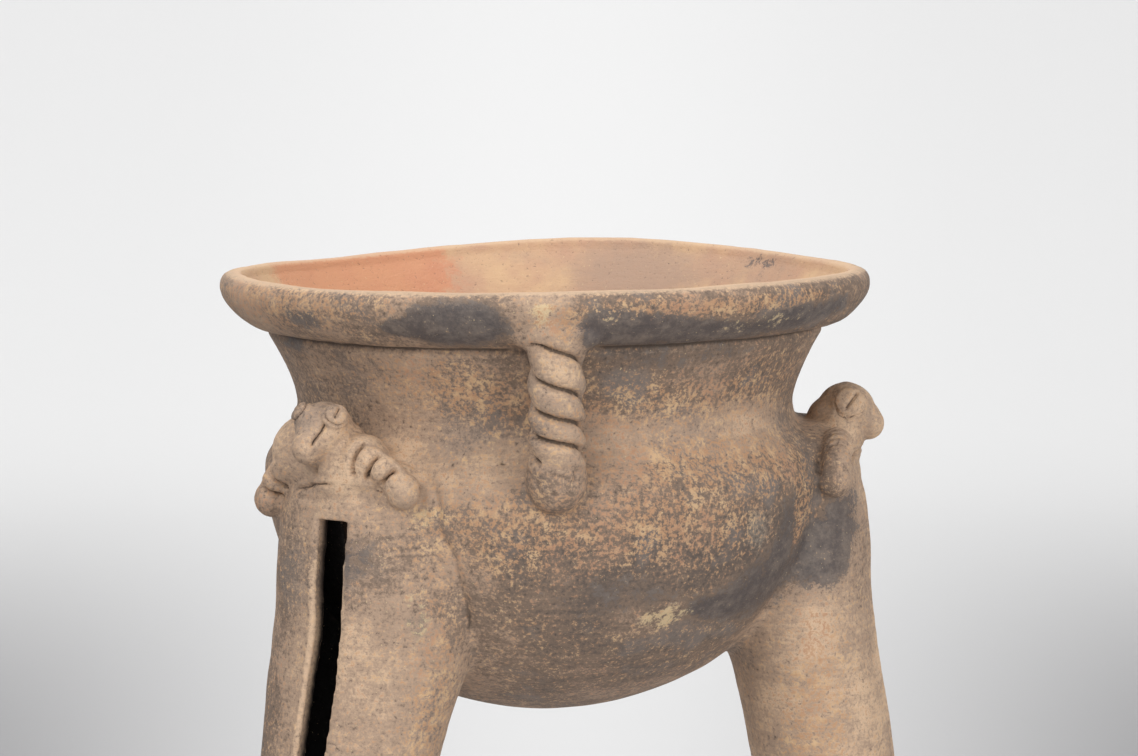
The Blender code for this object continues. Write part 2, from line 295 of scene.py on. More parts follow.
@dataclass(frozen=True)
class BowlForm:
    """The round bowl with its waisted neck and thick rolled rim."""

    clearance: float = 0.1707
    depth: float = 0.0758
    radius: float = 0.0876
    neck_radius: float = 0.0770
    neck_height: float = 0.0205
    neck_top_radius: float = 0.0868
    rim_radius: float = 0.1008
    rim_height: float = 0.0620
    band_height: float = 0.0158
    band_undercut: float = 0.0022
    wall: float = 0.0065
    lip: float = 0.0078
    lip_rounding: float = 0.0030
    lip_share: float = 0.8
    flare_power: float = 1.5
    overcut: float = 0.0100
    crease_tool: Tool = (0.0010, 0.0013, 0.0)
    crease_offset: float = 0.0004
    segments: int = 168
    band_section: tuple[tuple[float, float], ...] = (
        (0.02, 0.98),
        (0.20, 1.04),
        (0.42, 0.98),
        (0.66, 0.81),
        (0.86, 0.60),
        (0.98, 0.40),
        (1.00, 0.24),
        (0.95, 0.10),
        (0.84, 0.02),
        (0.70, 0.00),
        (0.50, 0.00),
    )
    rim_waves: tuple[tuple[int, float, float], ...] = (
        (1, 0.0013, 50.0),
        (2, 0.0008, -10.0),
        (3, 0.0009, 46.0),
        (4, 0.0004, -7.0),
    )

    @property
    def equator(self) -> float:
        """Height of the widest level."""
        return self.clearance + self.depth

    @property
    def rim_top(self) -> float:
        """Mean height of the lip."""
        return self.equator + self.rim_height

    @property
    def neck(self) -> float:
        """Height of the waist."""
        return self.equator + self.neck_height

    @property
    def band_foot(self) -> float:
        """Height of the rolled rim's underside."""
        return self.rim_top - self.band_height

    def rise(self, azimuth: float) -> float:
        """How far the hand-built rim stands above its mean level at an azimuth."""
        return sum(h * math.cos(math.radians(n * (azimuth - crest))) for n, h, crest in self.rim_waves)

    def body_curve(self, radius: float, depth: float, neck: float, top: float, top_height: float) -> Profile:
        """Points (radius, height) from the axis at the bottom, over the shoulder and up the flaring neck.

        Args:
            radius: Radius at the equator.
            depth: Depth of the underside below the equator.
            neck: Radius at the waist.
            top: Radius at the top of the flare.
            top_height: Height of the top of the flare.

        Returns:
            The points in order.
        """
        turns = np.linspace(0.0, math.pi / 2, 45)
        under = [(radius * math.sin(t), self.equator - depth * math.cos(t)) for t in turns]
        shares = np.linspace(0.0, 1.0, 19)[1:]
        swell = radius - neck
        shoulder = [
            (neck + swell * (1 + math.cos(math.pi * s)) / 2, self.equator + self.neck_height * s)
            for s in shares
        ]
        climb = top_height - self.neck
        flare = [(neck + (top - neck) * s**self.flare_power, self.neck + climb * s) for s in shares]
        return under + shoulder + flare

    def revolve(self, name: str, profile: Sequence[tuple[float, float]]) -> bpy.types.Object:
        """Spins a profile that starts and ends on the axis, and gives it the rim's rise and dip.

        Args:
            name: The object's name.
            profile: Points (radius, height).

        Returns:
            The new object.
        """
        bm = bmesh.new()
        rail = [bm.verts.new((radius, 0.0, height)) for radius, height in profile]
        edges = [bm.edges.new(pair) for pair in zip(rail, rail[1:])]
        bmesh.ops.spin(
            bm,
            geom=rail + edges,
            cent=(0, 0, 0),
            axis=(0, 0, 1),
            angle=math.tau,
            steps=self.segments,
            use_merge=True,
        )
        bmesh.ops.remove_doubles(bm, verts=bm.verts, dist=1e-6)
        for vert in bm.verts:
            share = min(1.0, max(0.0, (vert.co.z - self.neck) / (self.band_foot - self.neck)))
            azimuth = math.degrees(math.atan2(vert.co.x, -vert.co.y))
            vert.co.z += self.rise(azimuth) * share
        return new_object(name, bm)

    def band_crease(self) -> Stroke:
        """The sharp inner corner below the rolled rim, all the way round.

        Returns:
            The stroke.
        """
        radius = self.neck_top_radius + self.crease_offset
        height = self.band_foot - self.band_undercut
        turns = range(0, 361, 5)
        path = [tuple(outward(a) * radius + Vector((0, 0, height + self.rise(a)))) for a in turns]
        return Stroke(tuple(path), *self.crease_tool)

    def solid(self) -> bpy.types.Object:
        """The bowl, neck and rim as one block.

        Returns:
            The new object.
        """
        body = self.body_curve(
            self.radius,
            self.depth,
            self.neck_radius,
            self.neck_top_radius,
            self.band_foot - self.band_undercut,
        )
        overhang = self.rim_radius - self.neck_top_radius
        keys = list(range(len(self.band_section)))
        places = np.linspace(0, keys[-1], 41)
        section = smooth_table(keys, self.band_section, places)
        band = [
            (self.neck_top_radius + overhang * out, self.rim_top - self.band_height * drop)
            for out, drop in section
        ]
        return self.revolve("bowl", body + band + [(0.0, self.rim_top)])

    def hollow(self) -> bpy.types.Object:
        """The space inside the bowl, which runs up past the lip.

        Returns:
            The new object.
        """
        lip = self.rim_radius - self.lip
        above = self.rim_top + self.overcut
        body = self.body_curve(
            self.radius - self.wall,
            self.depth - self.wall,
            self.neck_radius - self.wall,
            lip,
            self.rim_top - self.lip_rounding,
        )
        turns = np.linspace(0.0, math.pi / 2, 7)[1:]
        rounding = []
        for turn in turns:
            out = lip + self.lip_rounding * (1 - math.cos(turn)) * self.lip_share
            rounding.append((out, self.rim_top - self.lip_rounding * (1 - math.sin(turn))))
        top = [(rounding[-1][0], above), (0.0, above)]
        return self.revolve("bowl_hollow", body + rounding + top)


@dataclass(frozen=True)
class LegPlace:
    """Where a leg stands, how its figure sits on it, and which way its slit faces."""

    name: str
    hip_azimuth: float
    foot_azimuth: float
    facing: float
    head_shift: tuple[float, float] = (0.0, 0.0)
    eye_shift: Point = (0.0, 0.0, 0.0)
    eye_share: float = 1.0
    striped: bool = False


class LegName(Enum):
    """The three legs."""

    LEFT = LegPlace("left", -41.0, -43.5, -29.0, (-0.0054, 0.0034), (0.0032, -0.0014, 0.0022), 0.80)
    RIGHT = LegPlace("right", 90.0, 90.0, 90.0, eye_share=1.12, striped=True)
    BACK = LegPlace("back", -139.0, -136.5, -151.0, (0.0030, 0.0012))


@dataclass(frozen=True)
class LegForm:
    """A long hollow leg that tapers to a small foot, with a slit down its outer face."""

    height: float = 0.2610
    wall: float = 0.0055
    floor: float = 0.0160
    roof_depth: float = 0.0140
    foot_reach: float = 0.1056
    hip_reach: float = 0.0742
    hip_share: float = 0.805
    knee_share: float = 0.55
    slit_width: float = 0.0102
    slit_foot_width: float = 0.0080
    slit_top_depth: float = 0.0190
    slit_length: float = 0.1710
    slit_wander: float = 0.0004
    slit_waves: float = 9.0
    lip_tool: Tool = (0.0013, -0.0006, 0.0060)
    far_lip_tool: Tool = (0.0013, -0.0003, 0.0060)
    lip_offset: float = 0.0014
    far_lip_offset: float = 0.0022
    lip_sink: float = 0.0003
    sides: int = 56
    rings: int = 120
    cavity_sides: int = 24
    cavity_rings: int = 28
    sections: tuple[tuple[float, float, float, float], ...] = (
        (0.000, 0.0000, 0.0066, 0.0066),
        (0.010, 0.0001, 0.0088, 0.0088),
        (0.034, 0.0010, 0.0104, 0.0106),
        (0.090, 0.0028, 0.0119, 0.0122),
        (0.190, 0.0046, 0.0145, 0.0152),
        (0.310, 0.0056, 0.0175, 0.0190),
        (0.430, 0.0055, 0.0203, 0.0228),
        (0.540, 0.0051, 0.0221, 0.0258),
        (0.655, 0.0045, 0.0230, 0.0282),
        (0.716, 0.0034, 0.0237, 0.0300),
        (0.765, 0.0016, 0.0258, 0.0312),
        (0.815, 0.0002, 0.0276, 0.0317),
        (0.860, 0.0004, 0.0271, 0.0312),
        (0.905, 0.0010, 0.0250, 0.0304),
        (0.943, 0.0024, 0.0219, 0.0290),
        (0.969, 0.0040, 0.0184, 0.0262),
        (0.988, 0.0058, 0.0134, 0.0212),
        (1.000, 0.0070, 0.0060, 0.0125),
    )

    def section(self, share: float) -> Array:
        """(bow, half depth, half width) at a share of the leg's height."""
        keys = [row[0] for row in self.sections]
        return smooth_table(keys, [row[1:] for row in self.sections], np.array([share]))[0]

    def centre(self, place: LegPlace, share: float, bow: float) -> Vector:
        """Point on the leg's middle line.

        Args:
            place: The leg.
            share: Share of its height.
            bow: How far the section stands outside the straight line from foot to hip.

        Returns:
            The point in the vessel's frame.
        """
        run = min(1.0, share / self.hip_share)
        reach = self.foot_reach + (self.hip_reach - self.foot_reach) * run + bow
        turn = min(1.0, max(0.0, (share - self.knee_share) / (self.hip_share - self.knee_share)))
        azimuth = place.foot_azimuth + (place.hip_azimuth - place.foot_azimuth) * turn
        return outward(azimuth) * reach + Vector((0, 0, self.height * share))

    def tube(self, place: LegPlace, shares: Sequence[float], sides: int, inset: float) -> bpy.types.Object:
        """A closed form inside the leg's outer face.

        Args:
            place: The leg.
            shares: The rings, as shares of its height.
            sides: Points on a ring.
            inset: How far it lies inside the outer face.

        Returns:
            The new object.
        """
        rows = {share: self.section(share) for share in shares}

        def ring_point(turn: float, share: float) -> Vector:
            """Point on the leg's section.

            Args:
                turn: Angle round the section, from its outer side.
                share: Share of the leg's height.

            Returns:
                The point in the vessel's frame.
            """
            bow, depth, width = rows[share]
            frame = local_frame(place.facing, self.centre(place, share, bow))
            return frame @ Vector(((depth - inset) * math.cos(turn), (width - inset) * math.sin(turn), 0.0))

        return loft("leg", shares, sides, ring_point)

    def solid(self, place: LegPlace) -> bpy.types.Object:
        """The leg's outer form, with closer rings at the foot and the top."""
        shares = [0.5 - 0.5 * math.cos(math.pi * i / self.rings) for i in range(self.rings + 1)]
        return self.tube(place, shares, self.sides, 0.0)

    def cavity(self, place: LegPlace) -> bpy.types.Object:
        """The hollow inside the leg.

        Args:
            place: The leg.

        Returns:
            The new object.
        """
        low = self.floor / self.height
        high = 1 - self.roof_depth / self.height
        shares = [float(s) for s in np.linspace(low, high, self.cavity_rings)]
        return self.tube(place, shares, self.cavity_sides, self.wall)

    def slit_lips(self, place: LegPlace) -> list[Stroke]:
        """The clay that was pushed up along the slit's edges.

        Args:
            place: The leg.

        Returns:
            One stroke for each edge.
        """
        top = self.height - self.slit_top_depth
        made = []
        lips = ((-1, self.lip_offset, self.lip_tool), (1, self.far_lip_offset, self.far_lip_tool))
        for hand, offset, tool in lips:
            path = []
            for run in np.linspace(-0.01, 1.0, 50):
                share = float(top - self.slit_length * run) / self.height
                bow, depth, _ = self.section(share)
                half = (self.slit_width + (self.slit_foot_width - self.slit_width) * run) / 2
                frame = local_frame(place.facing, self.centre(place, share, bow))
                path.append(tuple(frame @ Vector((depth - self.lip_sink, hand * (half + offset), 0.0))))
            made.append(Stroke(tuple(path), *tool))
        return made

    def slit(self, place: LegPlace) -> bpy.types.Object:
        """The slit's cutter, from outside the leg to the middle of its cavity.

        Args:
            place: The leg.

        Returns:
            The new object.
        """
        top = self.height - self.slit_top_depth
        shares = [float(top - self.slit_length * s) / self.height for s in np.linspace(0.0, 1.0, 25)]
        rows = {share: self.section(share) for share in shares}

        def corner(turn: float, share: float) -> Vector:
            """Corner of the slit's section.

            Args:
                turn: Angle of the corner in a square.
                share: Share of the leg's height.

            Returns:
                The point in the vessel's frame.
            """
            bow, depth, _ = rows[share]
            run = (top - share * self.height) / self.slit_length
            half = (self.slit_width + (self.slit_foot_width - self.slit_width) * run) / 2
            wander = self.slit_wander * math.sin(self.slit_waves * run + place.facing)
            turn = turn + math.pi / 4
            reach = depth + self.wall if math.cos(turn) > 0 else 0.0
            frame = local_frame(place.facing, self.centre(place, share, bow))
            return frame @ Vector((reach, math.copysign(half, math.sin(turn)) + wander, 0.0))

        return loft("slit", shares, 4, corner)


@dataclass(frozen=True)
class LegFigure:
    """The small animal on a leg's top. Places are (out, side, up) from its seat."""

    seat_reach: float = 0.0760
    neck: tuple[Point, Point] = ((0.0150, 0.0, -0.0060), (0.0086, 0.0128, 0.0122))
    nape: tuple[Point, Point] = ((0.0140, 0.0, -0.0010), (0.0086, 0.0084, 0.0080))
    cheek: tuple[Point, Point] = ((0.0160, 0.0072, -0.0034), (0.0078, 0.0086, 0.0090))
    shoulder: tuple[Point, Point] = ((0.0092, -0.0142, -0.0024), (0.0112, 0.0142, 0.0122))
    head: tuple[Point, Point] = ((0.0180, 0.0, 0.0026), (0.0090, 0.0084, 0.0084))
    muzzle: tuple[Point, Point] = ((0.0220, -0.0008, 0.0004), (0.0072, 0.0054, 0.0060))
    snout: tuple[Point, Point] = ((0.0248, -0.0014, -0.0016), (0.0050, 0.0044, 0.0050))
    throat: tuple[Point, Point] = ((0.0168, 0.0, -0.0070), (0.0064, 0.0066, 0.0100))
    eye_centre: Point = (0.0188, 0.0078, 0.0056)
    eye_size: Point = (0.0026, 0.0050, 0.0046)
    deep_eye: float = 0.0012
    raised_arm: tuple[Point, ...] = (
        (0.0182, 0.0066, -0.0004),
        (0.0190, 0.0118, -0.0018),
        (0.0187, 0.0172, -0.0050),
        (0.0174, 0.0210, -0.0098),
    )
    hanging_arm: tuple[Point, ...] = (
        (0.0160, -0.0080, -0.0005),
        (0.0150, -0.0190, -0.0050),
        (0.0132, -0.0255, -0.0110),
        (0.0118, -0.0285, -0.0168),
    )
    combed_arm: tuple[Point, ...] = (
        (0.0141, -0.0160, -0.0048),
        (0.0135, -0.0232, -0.0068),
        (0.0128, -0.0278, -0.0108),
        (0.0122, -0.0292, -0.0150),
    )
    combed_face: Point = (0.2, -1.0, 0.35)
    arm_radius: float = 0.0046
    paw_size: Point = (0.0052, 0.0053, 0.0056)
    notches: tuple[float, ...] = (0.11, 0.41, 0.69)
    lower_notches: tuple[float, ...] = (0.56, 0.78)
    stripes: tuple[float, ...] = (0.06, 0.18, 0.30, 0.42)
    mouth_line: tuple[Point, ...] = (
        (0.0238, 0.0046, 0.0062),
        (0.0258, 0.0040, 0.0036),
        (0.0278, 0.0030, 0.0008),
        (0.0284, 0.0022, -0.0012),
    )
    chest_line: tuple[Point, ...] = (
        (0.0173, -0.0168, -0.0122),
        (0.0198, -0.0118, -0.0108),
        (0.0213, -0.0067, -0.0096),
        (0.0224, -0.0022, -0.0088),
        (0.0228, 0.0018, -0.0086),
    )
    chest_fold: tuple[Point, ...] = (
        (0.0185, -0.0140, -0.0145),
        (0.0215, -0.0070, -0.0140),
        (0.0225, -0.0015, -0.0132),
    )
    chin_dent: tuple[Point, ...] = ((0.0214, -0.0020, -0.0088), (0.0222, 0.0012, -0.0084))
    muzzle_nod: float = 24.0
    snout_nod: float = 20.0
    throat_nod: float = -8.0
    mouth_tool: Tool = (0.00055, 0.0016, 0.0016)
    chest_tool: Tool = (0.0006, 0.0013, 0.0040)
    fold_tool: Tool = (0.0011, 0.0005, 0.0040)
    chin_tool: Tool = (0.0016, 0.0014, 0.0010)
    eye_ring_gap: float = 0.0003
    eye_ring_level: float = 0.35
    eye_ring_tool: Tool = (0.0005, 0.0008, 0.0)
    eye_slot_reach: tuple[float, float] = (0.4, 0.55)
    eye_slot_tool: Tool = (0.00055, 0.0012, 0.0006)
    arm_wrap: float = 1.35
    notch_sag: float = 0.0004
    notch_tool: Tool = (0.00060, 0.0025, 0.0010)
    notch_shoulder_tool: Tool = (0.0015, 0.0008, 0.0012)
    stripe_sag: float = 0.0030
    stripe_tool: Tool = (0.0005, 0.0009, 0.0010)

    def frame(self, place: LegPlace, leg: LegForm) -> Matrix:
        """The figure's own frame on a leg."""
        seat = outward(place.hip_azimuth) * self.seat_reach
        return local_frame(place.facing, Vector((seat.x, seat.y, leg.height)))

    def head_frame(self, place: LegPlace, leg: LegForm) -> Matrix:
        """The frame of the figure's head, which sits a little to one side on some legs."""
        side, up = place.head_shift
        return self.frame(place, leg) @ Matrix.Translation((0.0, side, up))

    def arm(self, frame: Matrix, path: Sequence[Point]) -> bpy.types.Object:
        """One arm: a coil of clay laid over the leg's top.

        Args:
            frame: The figure's own frame.
            path: The points of its middle line.

        Returns:
            The new object.
        """
        keys = np.linspace(0.0, 1.0, len(path))
        shares = [float(s) for s in np.linspace(0.0, 1.0, 15)]
        middle = {s: Vector(smooth_table(keys, path, np.array([s]))[0]) for s in shares}
        ahead = {s: Vector(smooth_table(keys, path, np.array([min(1.0, s + 0.05)]))[0]) for s in shares}
        behind = {s: Vector(smooth_table(keys, path, np.array([max(0.0, s - 0.05)]))[0]) for s in shares}

        def ring_point(turn: float, share: float) -> Vector:
            """Point on the arm's section.

            Args:
                turn: Angle round the arm.
                share: Share of its length.

            Returns:
                The point in the vessel's frame.
            """
            along = ahead[share] - behind[share]
            across = along.cross(Vector((1.0, 0.0, 0.0))).normalized()
            rise = across.cross(along).normalized()
            offset = (across * math.cos(turn) + rise * math.sin(turn)) * self.arm_radius
            return frame @ (middle[share] + offset)

        return loft("arm", shares, 20, ring_point)

    def lumps(self, place: LegPlace, leg: LegForm) -> list[bpy.types.Object]:
        """The animal's neck, head, muzzle, eyes, arms and paws, as closed forms.

        Args:
            place: The leg.
            leg: The leg's sizes.

        Returns:
            The new objects.
        """
        frame = self.frame(place, leg)
        head = self.head_frame(place, leg)
        side, up = place.head_shift
        between = frame @ Matrix.Translation((0.0, side / 2, up / 2))
        made = [
            ball(frame, *self.neck),
            ball(between, *self.nape),
            ball(between, *self.throat, self.throat_nod),
            ball(frame, *self.cheek),
            ball(head, *self.head),
            ball(head, *self.muzzle, self.muzzle_nod),
            ball(head, *self.snout, self.snout_nod),
        ]
        for hand in (1, -1):
            made.append(ball(self.eye_frame(place, head, hand), (0.0, 0.0, 0.0), self.eye_size))
        if not place.striped:
            made.append(ball(frame, *self.shoulder))
        for path in (self.raised_arm, self.lower_arm(place)):
            made.append(self.arm(frame, path))
            made.append(ball(frame, path[-1], self.paw_size))
        return made

    def eye_frame(self, place: LegPlace, head: Matrix, hand: int) -> Matrix:
        """The frame of an eye, whose x points away from the head's middle.

        Args:
            place: The leg.
            head: The head's own frame.
            hand: 1 or -1, the side of the head. The second one's eye was pressed in deeper.

        Returns:
            The frame.
        """
        out, side, up = (part + shift for part, shift in zip(self.eye_centre, place.eye_shift))
        middle = Vector((out, side if hand > 0 else self.deep_eye - side, up))
        away = (middle - Vector(self.head[0])).normalized()
        level = Vector((0.0, 0.0, 1.0)).cross(away).normalized()
        axes = (away, level * place.eye_share, away.cross(level) * place.eye_share)
        return head @ Matrix.Translation(middle) @ Matrix(axes).transposed().to_4x4()

    def lower_arm(self, place: LegPlace) -> tuple[Point, ...]:
        """The middle line of the arm that hangs."""
        return self.combed_arm if place.striped else self.hanging_arm

    def strokes(self, place: LegPlace, leg: LegForm) -> list[Stroke]:
        """Everything that was pressed into the animal while the clay was wet.

        Args:
            place: The leg.
            leg: The leg's sizes.

        Returns:
            The strokes.
        """
        frame = self.frame(place, leg)
        head = self.head_frame(place, leg)
        made = []
        for hand in (1, -1):
            made += self.eye_strokes(self.eye_frame(place, head, hand))
        made += self.notch_strokes(frame, self.raised_arm, self.notches)
        if place.striped:
            made += self.stripe_strokes(frame, self.combed_arm)
        else:
            made += self.notch_strokes(frame, self.hanging_arm, self.lower_notches)
            made.append(placed(head, self.mouth_line, *self.mouth_tool))
        made.append(placed(frame, self.chest_line, *self.chest_tool))
        made.append(placed(frame, self.chest_fold, *self.fold_tool))
        made.append(placed(head, self.chin_dent, *self.chin_tool))
        return made

    def eye_strokes(self, eye: Matrix) -> list[Stroke]:
        """The ring round an eye pellet and the slot across it.

        Args:
            eye: The eye's own frame.

        Returns:
            The strokes.
        """
        thick, wide, tall = self.eye_size
        level = thick * self.eye_ring_level
        width = wide + self.eye_ring_gap
        height = tall + self.eye_ring_gap
        turns = np.linspace(0.0, math.tau, 25)
        ring = [(level, width * math.cos(t), height * math.sin(t)) for t in turns]
        reach_side, reach_up = self.eye_slot_reach
        slot = [(thick, hand * wide * reach_side, hand * tall * reach_up) for hand in (-1.0, 0.0, 1.0)]
        return [placed(eye, ring, *self.eye_ring_tool), placed(eye, slot, *self.eye_slot_tool)]

    def across_arm(
        self, path: Sequence[Point], share: float, sag: float, face: Point = (1.0, 0.0, 0.0)
    ) -> list[Vector]:
        """A line over an arm's round face, from one of its sides to the other.

        Args:
            path: The arm's middle line.
            share: Where on the arm.
            sag: How far the line's ends hang towards the paw.
            face: The direction that the face points in.

        Returns:
            The points in the figure's own frame.
        """
        keys = np.linspace(0.0, 1.0, len(path))
        middle, ahead = smooth_table(keys, path, np.array([share, share + 0.02]))
        along = Vector(ahead - middle).normalized()
        across = along.cross(Vector(face)).normalized()
        rise = across.cross(along).normalized()
        rise = rise if rise.dot(Vector(face)) > 0 else -rise
        points = []
        for turn in np.linspace(-self.arm_wrap, self.arm_wrap, 11):
            offset = (across * math.sin(turn) + rise * math.cos(turn)) * self.arm_radius
            points.append(Vector(middle) + offset + along * sag * (1 - math.cos(turn)))
        return points

    def notch_strokes(self, frame: Matrix, path: Sequence[Point], shares: Sequence[float]) -> list[Stroke]:
        """The deep notches that part an arm's fingers, each with rounded shoulders.

        Args:
            frame: The figure's own frame.
            path: The arm's middle line.
            shares: Where on the arm the notches lie.

        Returns:
            The strokes.
        """
        made = []
        for share in shares:
            line = self.across_arm(path, share, self.notch_sag)
            made.append(placed(frame, line, *self.notch_tool))
            made.append(placed(frame, line, *self.notch_shoulder_tool))
        return made

    def stripe_strokes(self, frame: Matrix, path: Sequence[Point]) -> list[Stroke]:
        """The fine nested arcs that were combed over a hanging arm."""
        lines = [self.across_arm(path, share, self.stripe_sag, self.combed_face) for share in self.stripes]
        return [placed(frame, line, *self.stripe_tool) for line in lines]


@dataclass(frozen=True)
class TwistedHandle:
    """A loop handle of two twisted coils from the rim to the shoulder."""

    azimuth: float
    top_depth: float = 0.0060
    foot_depth: float = 0.0520
    top_reach: float = 0.0925
    foot_reach: float = 0.0900
    bow: float = 0.0015
    coil_radius: float = 0.0074
    coil_offset: float = 0.0010
    flatness: float = 0.80
    crossings: tuple[float, ...] = (0.0154, 0.0257, 0.0345, 0.0414)
    flattening: float = 0.28
    crease_ends: tuple[float, float] = (0.10, 0.88)
    crease_limit: float = -0.3
    crease_tool: Tool = (0.0005, 0.0014, 0.0016)
    crease_shoulder_tool: Tool = (0.0015, 0.0006, 0.0020)
    dent_tool: Tool = (0.0009, 0.0007, 0.0012)
    sides: int = 64
    rings: int = 110
    root_size: Point = (0.0070, 0.0142, 0.0066)
    root_drop: float = 0.0042
    knob_size: Point = (0.0085, 0.0090, 0.0100)
    knob_drop: float = 0.0010
    knob_dents: tuple[tuple[Point, ...], ...] = (
        ((0.0078, -0.0030, 0.0018), (0.0084, 0.0002, 0.0010), (0.0078, 0.0036, -0.0004)),
        ((0.0076, -0.0026, -0.0042), (0.0080, 0.0004, -0.0048)),
        ((0.0062, 0.0050, 0.0030), (0.0066, 0.0046, -0.0020)),
        ((0.0062, -0.0056, 0.0000), (0.0060, -0.0054, -0.0038)),
    )

    def twist(self, depth: float) -> float:
        """Turn of the coils at a depth below the rim. The creases cross the front at the crossings.

        Args:
            depth: How far below the rim's top.

        Returns:
            The turn in radians.
        """
        depths = np.array(self.crossings)
        turns = math.pi * (len(depths) - np.arange(len(depths)) - 0.5)
        first = (turns[0] - turns[1]) / (depths[1] - depths[0])
        last = (turns[-2] - turns[-1]) / (depths[-1] - depths[-2])
        if depth < depths[0]:
            even = turns[0] + (depths[0] - depth) * first
        elif depth > depths[-1]:
            even = turns[-1] - (depth - depths[-1]) * last
        else:
            even = float(np.interp(depth, depths, turns))
        return even - self.flattening * math.sin(2 * even)

    def strokes(self, bowl: BowlForm) -> list[Stroke]:
        """The creases between the coils, and the dent round the knob.

        Args:
            bowl: The bowl that the handle sits on.

        Returns:
            The strokes.
        """
        top = bowl.rim_top - self.top_depth
        foot = bowl.rim_top - self.foot_depth
        length = top - foot
        frame = local_frame(self.azimuth, Vector((0, 0, foot)))
        made = []
        for strand in (0.0, math.pi):
            path = []
            for share in np.linspace(*self.crease_ends, 160):
                turn = math.pi / 2 + strand - self.twist(self.foot_depth - share * length)
                if math.cos(turn) < self.crease_limit:
                    made += self.crease(frame, path)
                    path = []
                    continue
                reach = self.foot_reach + (self.top_reach - self.foot_reach) * share
                reach += self.bow * math.sin(math.pi * share)
                valley = math.sqrt(self.coil_radius**2 - self.coil_offset**2)
                out = reach + self.flatness * valley * math.cos(turn)
                path.append((out, valley * math.sin(turn), share * length))
            made += self.crease(frame, path)
        for path in self.knob_dents:
            points = [(bowl.radius + out, side, up) for out, side, up in path]
            made.append(placed(frame, points, *self.dent_tool))
        return made

    def crease(self, frame: Matrix, path: Sequence[Point]) -> list[Stroke]:
        """One crease between two turns of the coils, if its path has points.

        Args:
            frame: The handle's own frame.
            path: The crease's points in it.

        Returns:
            A narrow and a broad stroke, or none.
        """
        if len(path) < 8:
            return []
        tools = (self.crease_tool, self.crease_shoulder_tool)
        return [placed(frame, path, *tool) for tool in tools]

    def lumps(self, bowl: BowlForm) -> list[bpy.types.Object]:
        """The twisted coils, their root at the rim and their pressed knob, as closed forms.

        Args:
            bowl: The bowl that the handle sits on.

        Returns:
            The new objects.
        """
        top = bowl.rim_top - self.top_depth
        foot = bowl.rim_top - self.foot_depth
        length = top - foot
        frame = local_frame(self.azimuth, Vector((0, 0, foot)))

        def ring_point(turn: float, share: float) -> Vector:
            """Point on the twisted pair's section.

            Args:
                turn: Angle round the pair of coils.
                share: Share of their length, from the foot.

            Returns:
                The point in the vessel's frame.
            """
            crest = abs(math.cos(turn))
            inner = self.coil_radius**2 - (self.coil_offset**2) * (1 - crest**2)
            lobe = self.coil_offset * crest + math.sqrt(inner)
            twisted = turn - self.twist(self.foot_depth - share * length)
            reach = self.foot_reach + (self.top_reach - self.foot_reach) * share
            reach += self.bow * math.sin(math.pi * share) + self.flatness * lobe * math.cos(twisted)
            return frame @ Vector((reach, lobe * math.sin(twisted), share * length))

        shares = [i / self.rings for i in range(self.rings + 1)]
        coils = loft("handle", shares, self.sides, ring_point)
        root = ball(frame, (self.top_reach, 0.0, length - self.root_drop), self.root_size)
        knob = ball(frame, (bowl.radius, 0.0, -self.knob_drop), self.knob_size)
        for lump in (coils, root, knob):
            cut(lump, [bowl.hollow()])
        return [coils, root, knob]


def value_noise(points: Array, cell: Point, seed: int) -> Array:
    """Smooth noise from -1 to 1 at points, from random values on a lattice.

    Args:
        points: Places, one row each.
        cell: Size of a lattice cell along x, y and z.
        seed: Seed of the random values.

    Returns:
        One value for each point.
    """
    span = 17
    lattice = np.random.default_rng(seed).uniform(-1.0, 1.0, (span, span, span))
    place = points / np.asarray(cell) + 1000.0
    base = np.floor(place).astype(int)
    part = place - base
    part = part * part * (3 - 2 * part)
    total = np.zeros(len(points))
    for corner in np.ndindex(2, 2, 2):
        index = (base + corner) % span
        weight = np.prod(np.where(corner, part, 1 - part), axis=1)
        total += weight * lattice[index[:, 0], index[:, 1], index[:, 2]]
    return total


